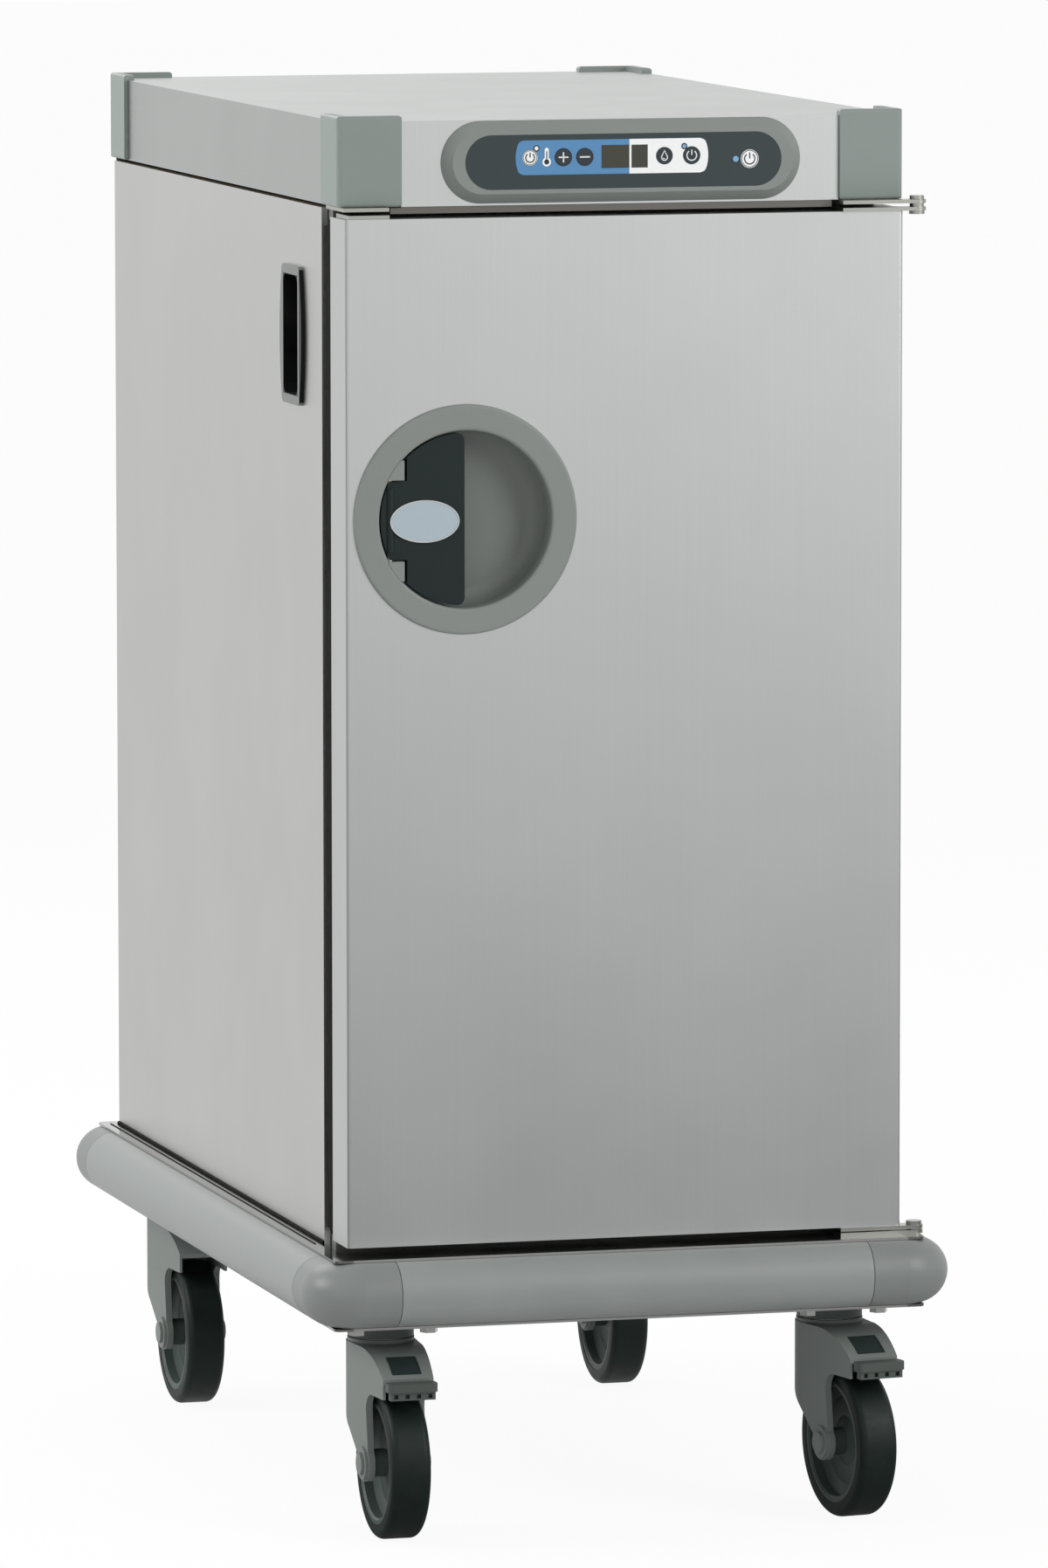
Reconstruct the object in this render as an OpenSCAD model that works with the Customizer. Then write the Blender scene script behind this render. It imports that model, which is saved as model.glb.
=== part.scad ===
// Mobile hot cupboard: an insulated steel cabinet on a bumpered chassis with four swivel casters.
// Millimetres, +Z up, the door faces -Y, origin on the floor below the middle of the overall box.

/* [Cabinet] */
// Outer width across the side panels
body_w = 470; // [455:1:520]
// Depth of the side panels from front edge to rear edge
body_d = 726; // [690:1:800]
// Height of the side panels above the deck
body_h = 849; // [835:1:950]
// Build-up of the side, floor and ceiling walls
wall_t = 45; // [42:1:48]
// Build-up of the rear wall
back_wall_t = 50; // [40:1:60]
// Thickness of the outer sheet steel
sheet = 1.2; // [1:0.1:1.5]
// Thickness of the liner sheet steel
liner_sheet = 1; // [0.8:0.1:1.2]
// Depth of the front frame that closes the wall build-up
frame_d = 14; // [12:1:18]
// How far the front frame stands in from the side panels
frame_inset = 6; // [4:1:8]
// Width of the folded front edge of a side panel
panel_return = 5; // [3:1:6]

/* [Door] */
// Thickness of the door
door_t = 48; // [47:0.5:52]
// Play between the straps of the lower hinge
hinge_play = 1; // [0.8:0.1:3]
// Distance from the top of the door up to the top of the side panels
door_head = 6; // [5:0.5:8]
// Height of the gasket between the door and the front frame
gasket_t = 14; // [12:1:16]
// Width of the gasket
gasket_w = 18; // [14:1:20]
// How far the gasket stands in from the edge of the door
gasket_inset = 8.5; // [7:0.5:10]
// Rounding of the door's upright front edges
door_edge_r = 3; // [2:0.5:4]

/* [Handle] */
// Distance from the latch edge of the door to the handle ring
ring_margin = 6.2; // [4:0.1:16]
// Height of the handle ring's middle above the door's bottom edge
handle_z = 592.3; // [400:0.1:650]
// Outer diameter of the handle ring
ring_d = 187; // [183:0.5:188]
// Diameter of the recess inside the ring
recess_d = 144.5; // [142:0.5:146]
// Room for the latch between the recess floor and the door's rear face
latch_room = 18; // [17:0.5:20]
// How far the ring stands proud of the door
ring_proud = 3; // [2:0.5:4]
// Wall thickness of the moulded bowl
bowl_wall = 2; // [1.5:0.25:2.5]
// Thickness of the paddle
paddle_t = 6; // [5:0.5:7]
// How far the paddle's face lies behind the door's front face
paddle_sink = 2; // [1:0.5:3]
// Distance from the recess wall in to the paddle's pivot
pivot_in = 10.25; // [9:0.25:12]
// Diameter of the paddle's pivot pin
paddle_pin_d = 5; // [4:0.5:6]

/* [Top cap] */
// Shadow gap between the side panels and the cap
cap_gap = 3; // [2:0.5:4]
// Height of the corner blocks
cap_h = 73.6; // [70:0.1:80]
// Height of the corner blocks' lips above the top plate
lip_h = 4.5; // [3:0.5:6]
// Distance from the door's front face back to the fascia
fascia_setback = 15.5; // [15:0.5:18]
// Length of a corner block's leg
block_leg = 53.8; // [50:0.1:56]
// Wall thickness of a corner block
block_wall = 9; // [8:0.5:10]
// How far the corner blocks stand proud of the sheets
block_proud = 3.3; // [2:0.1:4]
// Rounding of a corner block's outer edge
block_r = 4; // [3:0.5:5]
// Rounding of a corner block's ends
block_end_r = 2.5; // [1.5:0.25:3.5]

/* [Controls] */
// Distance from the side of the cabinet to the control bezel
bezel_margin = 83.5; // [80:0.5:84]
// Distance from the edge of the fascia to the control bezel
bezel_edge = 1.05; // [0.5:0.05:1.5]
// How far the bezel stands proud of the fascia
bezel_proud = 9; // [8:0.5:10]
// How much the bezel's sides lean in from foot to top
bezel_slope = 8; // [6:0.5:9]
// Distance from the end of the bezel's foot to the dark overlay
overlay_end = 18.5; // [16:0.5:20]
// Distance from the edge of the bezel's foot to the overlay
overlay_edge = 11.5; // [10.5:0.25:12.5]
// Thickness of the overlay
overlay_t = 2; // [1.5:0.25:2.5]
// Travel of a key
key_travel = 0.6; // [0.4:0.1:0.8]

/* [Chassis] */
// Height of the chassis from its underside to the deck
chassis_h = 58; // [50:1:60]
// Thickness of the deck and base plates
deck_t = 2; // [1.5:0.25:3]
// Ledge of the deck outside each side panel
side_ledge = 15.8; // [14:0.1:20]
// Ledge of the deck behind the rear panel
rear_ledge = 16; // [12:0.5:24]
// Distance from the deck's front edge back to the door's front face
door_setback = 20; // [16:0.5:24]
// Plan rounding of the bumper's seat at the corners
deck_corner_r = 20; // [18:0.5:26]
// Plan rounding of the deck and base plates at the corners
deck_tip_r = 6; // [4:0.5:10]
// How far the bumper bulges beyond the deck's edge
bumper_bulge = 23; // [20:0.5:24]
// How far the bumper is let in between the deck and the base plate
bumper_seat = 12; // [8:0.5:14]
// Length of a bumper corner piece along each side
bumper_corner = 73.5; // [70:0.5:90]

/* [Casters] */
// Height from the top of a wheel to the underside of the chassis
caster_rise = 53; // [50:0.5:56]
// Diameter of the wheels
wheel_d = 125; // [120:0.5:126]
// Width of the wheels
wheel_w = 33; // [28:0.5:34]
// Thickness of the tyre
tyre_t = 12; // [9:0.25:13]
// Horizontal distance from the swivel axis to the axle
trail = 40; // [38:0.5:42]
// Distance of the swivel axes from the sides of the deck
caster_inset_x = 58.8; // [56:0.1:70]
// Distance of the front swivel axes from the front of the deck
caster_front_inset = 79; // [70:0.5:85]
// Distance of the rear swivel axes from the rear of the deck
caster_rear_inset = 62; // [60:0.5:75]
// Gap between a wheel and a fork leg
wheel_side = 2.5; // [2.25:0.25:4]
// Thickness of a fork leg beside the swivel head
leg_t = 9.5; // [8.5:0.5:10.5]
// Resting swivel angle of the front right caster in degrees
front_right_swivel = 7.5; // [0:0.5:10]

/* [Shelf racks] */
// Height from one pan level to the next
level_pitch = 68; // [60:0.5:80]
// Distance from the liner to the face of the runners
post_depth = 24; // [20:0.5:26]
// Width of a runner's ledge
ledge_w = 16; // [12:0.5:18]

/* [Hidden] */
$fn = 64;

// Shared clearances: how far a cut runs past a face, a loose fit, a close fit and a running fit
over = 1;
fit = 0.3;
close_fit = 0.1;
run_fit = 0.05;

// Heights above the floor
caster_h = wheel_d + caster_rise;
deck_z = caster_h + chassis_h;
panel_z1 = deck_z + body_h;
cap_z0 = panel_z1 + cap_gap;
cap_z1 = cap_z0 + cap_h;
top_z = cap_z1 - lip_h;
strap_t = 3;
door_foot = 2 * strap_t + hinge_play;
door_z0 = deck_z + door_foot;
door_z1 = panel_z1 - door_head;
door_h = door_z1 - door_z0;

// Plan sizes and places along the depth
half_w = body_w / 2;
chassis_w = body_w + 2 * side_ledge;
chassis_l = door_setback + door_t + gasket_t + frame_d + body_d + rear_ledge;
wheel_r = wheel_d / 2;
pedal_ahead = 66;
front_reach = max(bumper_bulge, trail + max(wheel_r, pedal_ahead) - caster_front_inset);
chassis_cy = (front_reach - bumper_bulge) / 2;
chassis_y0 = chassis_cy - chassis_l / 2;
chassis_y1 = chassis_cy + chassis_l / 2;
door_y0 = chassis_y0 + door_setback;
door_y1 = door_y0 + door_t;
frame_y0 = door_y1 + gasket_t;
panel_y0 = frame_y0 + frame_d;
panel_y1 = panel_y0 + body_d;
fascia_y0 = door_y0 + fascia_setback;

// Cavity faces
cav_x = half_w - wall_t;
cav_z0 = deck_z + wall_t;
cav_z1 = panel_z1 - wall_t;
cav_y1 = panel_y1 - back_wall_t;

// Side grip: middle, flange outline, cup opening and depth
grip_from_front = 91;
grip_from_top = 109;
grip_w = 72;
grip_h = 114;
grip_side_r = 207;
grip_end_r = 6;
grip_ease = 3;
grip_proud = 3.4;
grip_open_w = 47;
grip_open_h = 98;
grip_open_r = 8;
grip_depth = 30;
grip_wall = 2;
grip_y = panel_y0 + grip_from_front;
grip_z = panel_z1 - grip_from_top;

// Hinges: pivot place, strap plates, pins and the blank plates on the latch side
pivot_out = 13;
pivot_back = 5;
strap_len = 52;
lug_r = 7.5;
hinge_pin_r = 4;
pin_head_r = 6.5;
pin_head_h = 3;
collar_r = 6;
strap_margin = 4;
blank_len = 38;
pivot_x = half_w + pivot_out;
pivot_y = door_y0 + pivot_back;

// Handle, latch hook and striker
handle_x = -half_w + ring_margin + ring_d / 2;
handle_cz = door_z0 + handle_z;
recess_r = recess_d / 2;
recess_depth = door_t - latch_room;
bowl_fillet_r = 14;
ring_edge_r = 2.5;
ear_l = 20.65;
ear_z0 = 33;
ear_z1 = 49;
ear_depth = 12;
ear_gap = 1;
notch_gap = 3.5;
barrel_gap = 2.2;
paddle_clear = 2;
paddle_corner_r = 6.5;
barrel_r = 4.5;
tail_w = 8;
tail_h = 16;
finger_r = 4;
paddle_angle = 24;
finger_in = 1;
ear_in = recess_r - ear_l;
pivot_reach = recess_r - pivot_in;
barrel_end = sqrt(pow(recess_r, 2) - pow(pivot_reach + barrel_r, 2)) - barrel_gap;
paddle_pin_end = sqrt(pow(recess_r + bowl_wall, 2) - pow(pivot_reach, 2));
paddle_pivot_x = handle_x - pivot_reach;
paddle_pivot_y = door_y0 + paddle_sink + paddle_t / 2;
paddle_pin_r = paddle_pin_d / 2;
slide_t = 10;
slide_h = 24;
slide_tail = 18;
slide_gap = 2;
guide_w = 4;
stem_w = 10;
stem_h = 18;
stem_gap = 1;
nose_reach = 6;
nose_t = 10;
striker_t = 3;
striker_foot_t = 2;
striker_h = 40;
striker_sink = 4;
striker_gap = 1;
nose_gap = 3;
slide_y0 = door_y0 + recess_depth + bowl_wall + slide_gap;
finger_reach = slide_y0 + finger_in - paddle_pivot_y;
hook_travel = finger_reach * sin(paddle_angle);
striker_y0 = frame_y0 + striker_sink;
nose_y0 = striker_y0 + striker_t + striker_gap;
nose_x = -cav_x + nose_gap;
stem_x = nose_x + nose_reach;

// Control panel: zone heights, displays, keys, board and its switches
bezel_rise = 0.45;
bezel_w = body_w - 2 * bezel_margin;
bezel_h = cap_h - lip_h - 2 * bezel_edge;
bezel_z = (cap_z0 + top_z) / 2 + bezel_rise;
overlay_w = bezel_w - 2 * overlay_end;
overlay_h = bezel_h - 2 * overlay_edge;
key_row_up = 3.5;
main_key_up = 0;
key_gap = 0.2;
key_proud = 0.4;
key_cap_t = 2;
key_stem_r = 3;
timer_x = 57;
timer_d = 14;
mains_share = 0.609;
mains_x = timer_x + timer_d / 2 + mains_share * (overlay_w / 2 - timer_x - timer_d / 2);
key_x = [-79, -51, -33, 34, timer_x, mains_x];
key_d = [12.6, 14, 14, 13.5, timer_d, 15];
key_light = [true, false, false, false, false, true];
key_up = [key_row_up, key_row_up, key_row_up, key_row_up, key_row_up, main_key_up];
display_x = [-19, 5.5];
display_w = [24, 14.5];
display_h = 18.7;
display_t = 1.6;
display_gap = 0.2;
window_in = 6;
window_w = overlay_w - 2 * window_in;
window_h = 26;
board_in = 2;
board_w = overlay_w - 2 * board_in;
board_h = 40;
board_t = 1.6;
board_back = 8;
standoff_r = 3;
standoff_in = 5;
standoff_x = board_w / 2 - standoff_in;
standoff_z = board_h / 2 - standoff_in;
switch_w = 6;
switch_t = 3.5;
switch_gap = 0.1;

// Rail that fills the gap between the cap and the door, between the hinge plates
rail_gap = 4;
rail_drop = cap_z0 - door_z1 - strap_t - fit;

// Fan, heater, baffle and probe under the ceiling
fan_from_back = 300;
motor_r = 38;
motor_h = 54;
motor_foot_r = 46;
motor_foot_t = 3;
shaft_r = 4;
shaft_hole_r = 7;
motor_bore_depth = 40;
impeller_r = 62;
impeller_h = 24;
impeller_gap = 8;
impeller_disc_t = 1.5;
impeller_hub_r = 12;
blade_count = 12;
blade_t = 1.5;
blade_in = 40;
blade_lean = 35;
element_r = 88;
element_tube_r = 4;
element_sleeve_r = 5.5;
element_sweep = 320;
element_drop = 22;
baffle_drop = 46;
baffle_gap = 2;
baffle_hole_r = 60;
slot_count = 6;
slot_l = 60;
slot_w = 12;
slot_edge = 22;
probe_r = 3;
probe_drop = 60;
probe_head_r = 7;
probe_head_h = 8;
probe_in = 50;
probe_off_x = cav_x - probe_in;
fan_y = cav_y1 - fan_from_back;

// Supply gland on the rear of the cap
gland_in = 85;
gland_x = -half_w + gland_in;
gland_r = 10;
gland_l = 14;
gland_bore_r = 5;
gland_neck_r = 8;
gland_nut_r = 12;
gland_nut_l = 5;

// Racks
post_w = 20;
post_wall = 1.5;
post_count = 3;
rack_front = 40;
rack_rear = 106;
rack_top = 28;
first_level = 32;
rack_l = cav_y1 - panel_y0 - rack_front - rack_rear;
rack_z1 = cav_z1 - baffle_drop - rack_top;
levels = floor((rack_z1 - cav_z0 - first_level) / level_pitch) + 1;
ledge_t = 1.5;
ledge_leg = 14;

// Chassis rails and bumper
rail_w = 30;
rail_wall = 2;
seam_gap = 0.6;
bumper_clear = 0.25;
bumper_h = chassis_h - 2 * deck_t - 2 * bumper_clear;
bumper_z = caster_h + chassis_h / 2;
bumper_arc_r = (pow(bumper_h / 2, 2) + pow(bumper_bulge, 2)) / (2 * bumper_bulge);
corner_stub = bumper_corner - bumper_bulge - deck_corner_r;

// Casters: plate, bolts, swivel head, fork, wheel and pedal
plate_w = 85;
plate_l = 105;
plate_t = 4;
bolt_pitch_x = 60;
bolt_pitch_y = 80;
bolt_r = 4;
bolt_hole_r = 4.5;
bolt_head_r = 7.5;
bolt_head_h = 5.3;
nut_h = 6;
race_in = 3;
race_h = 13;
kingpin_r = 7;
kingpin_l = 20;
head_clear = 3;
tail_wall = 8;
boss_r = 15;
boss_pad_r = 13.5;
boss_sink = 1.5;
boss_heel = 20;
boss_toe = 45;
axle_r = 6;
cap_r = 9;
axle_cap_t = 2.5;
leg_taper = 9;
leg_lead = 6;
arch_r = 14;
arch_drop = 3;
crown_front = 48;
crown_in = 2;
collar_in = 1;
crown_drop = 3;
crown_up = 13.5;
crown_taper = 7.25;
bow_r = 90;
roof_t = 3;
pocket_back = 6;
tyre_gap = 0.05;
tyre_shoulder = 6;
rim_t = 5;
rim_in = 0.5;
rim_ease = 1.5;
web_t = 6;
web_root = 14;
web_cone = 9;
hub_boss_r = 11.5;
hub_boss_end = 2;
arm_w = 34;
arm_back = 7;
arm_up = 4;
arm_under = 4.5;
arm_eye_r = 5.5;
arm_join = 2.8;
arm_lead = 1;
arm_sag = 2.5;
pedal_pivot_r = 3;
pedal_pivot_ahead = 14;
pedal_pivot_up = 10;
pedal_pin_l = 3;
pedal_w = 41.5;
pedal_l = 15;
pedal_bar_t = 7;
pedal_corner_r = 4;
pedal_lip_t = 6.5;
pedal_lip_l = 8;
pedal_lip_in = 2;
pedal_up = 12;
hole_count = 4;
hole_pitch = 9.5;
hole_side = 3.5;
hole_depth = 4;
head_z1 = caster_h - plate_t - race_h - fit;
head_z0 = wheel_d + head_clear;
slot_half = wheel_w / 2 + wheel_side;
head_r = slot_half + leg_t;
race_r = head_r - race_in;
leg_taper_z = wheel_d - leg_taper;
leg_y = -trail - leg_lead;
arch_z = wheel_d - arch_drop;
boss_x = head_r - boss_sink;
crown_y = -trail - crown_front;
crown_z1 = head_z1 - crown_drop;
crown_top = [-head_r + crown_in, crown_z1];
crown_end = [crown_y, wheel_d + crown_up];
crown_chord = crown_end - crown_top;
bow_depth = sqrt(pow(bow_r, 2) - pow(norm(crown_chord) / 2, 2));
bow_centre = (crown_top + crown_end) / 2
    - bow_depth * [crown_chord[1], -crown_chord[0]] / norm(crown_chord);
hub_d = wheel_d - 2 * tyre_t;
rim_w = wheel_w - 2 * rim_in;
hub_boss_w = wheel_w + 2 * hub_boss_end;
pedal_pivot_y = trail + pedal_pivot_ahead;
pedal_pivot_z = wheel_d + pedal_pivot_up;
pedal_tip = trail + pedal_ahead;
pedal_top_z = wheel_d + pedal_up;
swivels = [0, front_right_swivel, 0, 0];
caster_x = chassis_w / 2 - caster_inset_x;
caster_xs = [-caster_x, caster_x, -caster_x, caster_x];
caster_y0 = chassis_y0 + caster_front_inset;
caster_y1 = chassis_y1 - caster_rear_inset;
caster_ys = [caster_y0, caster_y0, caster_y1, caster_y1];

// Colours
steel = [0.76, 0.77, 0.76];
bright = [0.82, 0.83, 0.82];
grey = [0.53, 0.56, 0.54];
fork_grey = [0.44, 0.47, 0.46];
black = [0.11, 0.13, 0.13];
slate = [0.26, 0.30, 0.31];
wool = [0.85, 0.80, 0.62];

// Box from one corner to the opposite one
module block(low, high) {
    translate(low)
        cube(high - low);
}

// Rectangle around the origin with rounded corners
module round_rect(size, r) {
    square([size[0] - 2 * r, size[1]], center = true);
    square([size[0], size[1] - 2 * r], center = true);
    for (x = [-1, 1], y = [-1, 1])
        translate([x * (size[0] / 2 - r), y * (size[1] / 2 - r)])
            circle(r);
}

// Long shape with half-round ends around the origin
module stadium(size) {
    straight = size[0] - size[1];
    square([straight, size[1]], center = true);
    for (x = [-1, 1])
        translate([x * straight / 2, 0])
            circle(d = size[1]);
}

// Square whose corner at the origin is rounded
module corner_square(size, r) {
    translate([r, 0])
        square([size - r, size]);
    translate([0, r])
        square([size, size - r]);
    translate([r, r])
        circle(r);
}

// Stands a flat outline upright so that it grows from y0 to y1
module upright(y0, y1) {
    translate([0, y1, 0])
        rotate([90, 0, 0])
            linear_extrude(y1 - y0)
                children();
}

// Stands an outline drawn as (depth, height) upright so that it grows from x0 to x1
module sideways(x0, x1) {
    translate([x0, 0, 0])
        rotate([90, 0, 90])
            linear_extrude(x1 - x0)
                children();
}

// Round bar along X
module bar_x(r, x0, x1) {
    translate([x0, 0, 0])
        rotate([0, 90, 0])
            cylinder(r = r, h = x1 - x0);
}

// Chassis

module deck_outline() {
    translate([0, chassis_cy])
        round_rect([chassis_w, chassis_l], deck_tip_r);
}

module caster_bolt_places() {
    for (i = [0:len(caster_xs) - 1], x = [-1, 1], y = [-1, 1])
        translate([caster_xs[i] + x * bolt_pitch_x / 2, caster_ys[i] + y * bolt_pitch_y / 2, caster_h])
            children();
}

// Square tube along Y, around the origin in plan and open at its ends
module chassis_tube(l, z0, z1) {
    inner = rail_w - 2 * rail_wall;
    difference() {
        block([-rail_w / 2, -l / 2, z0], [rail_w / 2, l / 2, z1]);
        block([-inner / 2, -l / 2 - over, z0 + rail_wall], [inner / 2, l / 2 + over, z1 - rail_wall]);
    }
}

module chassis() {
    rail_z0 = caster_h + deck_t + close_fit;
    rail_z1 = deck_z - deck_t - close_fit;
    long_l = chassis_l - 2 * deck_corner_r;
    cross_w = chassis_w - 2 * (bumper_seat + rail_w + close_fit);
    color(bright) {
        translate([0, 0, deck_z - deck_t])
            linear_extrude(deck_t)
                deck_outline();
        difference() {
            translate([0, 0, caster_h])
                linear_extrude(deck_t)
                    deck_outline();
            caster_bolt_places()
                translate([0, 0, -over])
                    cylinder(r = bolt_hole_r, h = deck_t + 2 * over);
        }
        difference() {
            translate([0, chassis_cy, 0])
                for (turn = [0, 180])
                    rotate([0, 0, turn]) {
                        translate([chassis_w / 2 - bumper_seat - rail_w / 2, 0, 0])
                            chassis_tube(long_l, rail_z0, rail_z1);
                        translate([0, chassis_l / 2 - bumper_seat - rail_w / 2, 0])
                            rotate([0, 0, 90])
                                chassis_tube(cross_w, rail_z0, rail_z1);
                    }
            caster_bolt_places()
                cylinder(r = bolt_head_r + fit, h = deck_t + nut_h + fit);
        }
    }
}

// Half-round bumper section: zero is the deck's edge, the bulge grows along +X
module bumper_section() {
    inner = bumper_seat - fit;
    translate([-inner, -bumper_h / 2])
        square([inner, bumper_h]);
    intersection() {
        translate([bumper_bulge - bumper_arc_r, 0])
            circle(bumper_arc_r);
        translate([-close_fit, -bumper_h / 2])
            square([bumper_bulge + over, bumper_h]);
    }
}

// Straight length of bumper along +Y that bulges along +X
module bumper_length(l) {
    rotate([90, 0, 180])
        mirror([1, 0, 0])
            linear_extrude(l)
                bumper_section();
}

module bumper_rails() {
    side_l = chassis_l + 2 * bumper_bulge - 2 * bumper_corner - 2 * seam_gap;
    end_l = chassis_w + 2 * bumper_bulge - 2 * bumper_corner - 2 * seam_gap;
    color(grey)
        translate([0, chassis_cy, bumper_z])
            for (turn = [0, 180]) {
                rotate([0, 0, turn])
                    translate([chassis_w / 2, -side_l / 2, 0])
                        bumper_length(side_l);
                rotate([0, 0, turn + 90])
                    translate([chassis_l / 2, -end_l / 2, 0])
                        bumper_length(end_l);
            }
}

module bumper_corner_piece() {
    rotate_extrude(angle = 90)
        translate([deck_corner_r, 0])
            bumper_section();
    translate([deck_corner_r, -corner_stub, 0])
        bumper_length(corner_stub);
    rotate([0, 0, 90])
        translate([deck_corner_r, 0, 0])
            bumper_length(corner_stub);
}

module bumper_corners() {
    color(grey)
        translate([0, chassis_cy, bumper_z])
            for (x = [0, 1], y = [0, 1])
                mirror([x, 0, 0])
                    mirror([0, y, 0])
                        translate([chassis_w / 2 - deck_corner_r, chassis_l / 2 - deck_corner_r, 0])
                            bumper_corner_piece();
}

// Outer panels, liner and frame

module grip_hole() {
    round_rect([grip_open_w + 2 * grip_wall + 2 * fit, grip_open_h + 2 * grip_wall + 2 * fit],
        grip_open_r + grip_wall + fit);
}

// Side panel on the +X side
module side_panel() {
    difference() {
        union() {
            block([half_w - sheet, panel_y0, deck_z], [half_w, panel_y1, panel_z1]);
            block([half_w - panel_return, panel_y0, deck_z], [half_w, panel_y0 + sheet, panel_z1]);
        }
        translate([0, grip_y, grip_z])
            sideways(half_w - sheet - over, half_w + over)
                grip_hole();
    }
}

module left_side_panel() {
    color(steel)
        mirror([1, 0, 0])
            side_panel();
}

module right_side_panel() {
    color(steel)
        side_panel();
}

module rear_panel() {
    x = half_w - sheet - close_fit;
    color(steel)
        block([-x, panel_y1 - sheet, deck_z], [x, panel_y1, cap_z0]);
}

// Holes for whatever comes down through the ceiling: fan shaft, heater legs and probe
module ceiling_holes(z0, z1, grow) {
    translate([0, fan_y, z0]) {
        cylinder(r = shaft_hole_r + grow, h = z1 - z0);
        element_leg_places()
            cylinder(r = element_sleeve_r + fit + grow, h = z1 - z0);
        translate([probe_off_x, 0, 0])
            cylinder(r = probe_r + fit + grow, h = z1 - z0);
    }
}

module inner_liner() {
    x = cav_x + liner_sheet;
    y1 = cav_y1 - close_fit;
    color(bright) {
        for (side = [0, 1])
            mirror([side, 0, 0])
                block([cav_x, panel_y0, cav_z0 + close_fit], [x, y1, cav_z1 - close_fit]);
        block([-x, cav_y1, cav_z0 - liner_sheet], [x, cav_y1 + liner_sheet, cav_z1 + liner_sheet]);
        block([-x, panel_y0, cav_z0 - liner_sheet], [x, y1, cav_z0]);
        difference() {
            block([-x, panel_y0, cav_z1], [x, y1, cav_z1 + liner_sheet]);
            ceiling_holes(cav_z1 - over, cav_z1 + liner_sheet + over, 0);
        }
    }
}

module front_frame() {
    x = half_w - frame_inset;
    color(grey) {
        for (side = [0, 1])
            mirror([side, 0, 0])
                block([cav_x, frame_y0, deck_z], [x, panel_y0, cap_z0]);
        block([-cav_x + close_fit, frame_y0, deck_z], [cav_x - close_fit, panel_y0, cav_z0]);
        block([-cav_x + close_fit, frame_y0, cav_z1], [cav_x - close_fit, panel_y0, cap_z0]);
    }
}

module insulation() {
    x_out = half_w - sheet - fit;
    x_in = cav_x + liner_sheet + fit;
    y0 = panel_y0 + sheet + fit;
    y1 = cav_y1 + liner_sheet + fit;
    z0 = deck_z + fit;
    wall_z1 = panel_z1 - fit;
    z1 = cap_z0 - fit;
    floor_z = cav_z0 - liner_sheet - fit;
    roof_z = cav_z1 + liner_sheet + fit;
    color(wool) {
        for (side = [0, 1])
            mirror([side, 0, 0])
                difference() {
                    block([x_in, y0, z0], [x_out, y1, wall_z1]);
                    translate([0, grip_y, grip_z])
                        sideways(half_w - grip_depth - grip_wall - fit, half_w)
                            grip_hole();
                }
        block([-x_in + fit, y0, z0], [x_in - fit, y1, floor_z]);
        difference() {
            block([-x_in + fit, y0, roof_z], [x_in - fit, y1, z1]);
            ceiling_holes(roof_z - over, z1 + over, fit);
        }
        block([-x_out, y1 + fit, z0], [x_out, panel_y1 - sheet - fit, wall_z1]);
    }
}

// Top cap

// Corner block outline with its outer corner at the origin, grown all round by a clearance
module block_outline(grow) {
    difference() {
        translate([-grow, -grow])
            corner_square(block_leg + 2 * grow, block_r + grow);
        translate([block_wall + grow, block_wall + grow])
            corner_square(block_leg + over, block_r);
    }
}

module block_places() {
    x = half_w + block_proud;
    y0 = fascia_y0 - block_proud;
    y1 = panel_y1 + block_proud;
    for (side = [0, 1])
        mirror([side, 0, 0]) {
            translate([-x, y0, 0])
                children();
            translate([-x, y1, 0])
                mirror([0, 1, 0])
                    children();
        }
}

// Front view of a corner block with its ends rounded
module block_face() {
    translate([block_leg / 2, cap_z0 + cap_h / 2])
        round_rect([block_leg, cap_h], block_end_r);
}

module top_corner_blocks() {
    color(grey)
        block_places()
            intersection() {
                translate([0, 0, cap_z0])
                    linear_extrude(cap_h)
                        block_outline(0);
                upright(0, block_leg)
                    block_face();
                sideways(0, block_leg)
                    block_face();
            }
}

// Room that the corner blocks take out of the cap's sheets
module block_room() {
    block_places()
        translate([0, 0, cap_z0 - over])
            linear_extrude(cap_h + 2 * over)
                block_outline(fit);
}

module cap_base() {
    x = half_w - sheet - close_fit;
    y0 = fascia_y0 + sheet + close_fit;
    rail_x0 = -half_w + blank_len + rail_gap;
    rail_x1 = half_w - strap_len - rail_gap;
    color(steel)
        difference() {
            union() {
                block([-x, y0, cap_z0], [x, panel_y1 - sheet - close_fit, cap_z0 + sheet]);
                block([rail_x0, y0, cap_z0 - rail_drop], [rail_x1, y0 + sheet, cap_z0 + sheet]);
            }
            block_room();
            ceiling_holes(cap_z0 - over, cap_z0 + sheet + over, 0);
        }
}

module top_cover() {
    y0 = fascia_y0 + sheet + close_fit;
    color(bright)
        difference() {
            block([-half_w, y0, cap_z0], [half_w, panel_y1, top_z]);
            block([-half_w + sheet, y0 - over, cap_z0 - over], [half_w - sheet, panel_y1 - sheet, top_z - sheet]);
            block_room();
            translate([gland_x, panel_y1 - sheet - over, cap_z0 + cap_h / 2])
                rotate([-90, 0, 0])
                    cylinder(r = gland_neck_r + close_fit, h = sheet + 2 * over);
        }
}

module fascia_panel() {
    x = half_w + block_proud - block_leg - fit;
    color(steel)
        difference() {
            block([-x, fascia_y0, cap_z0], [x, fascia_y0 + sheet, top_z]);
            translate([0, 0, bezel_z])
                upright(fascia_y0 - over, fascia_y0 + sheet + over)
                    stadium([window_w, window_h]);
        }
}

// Controls

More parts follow.
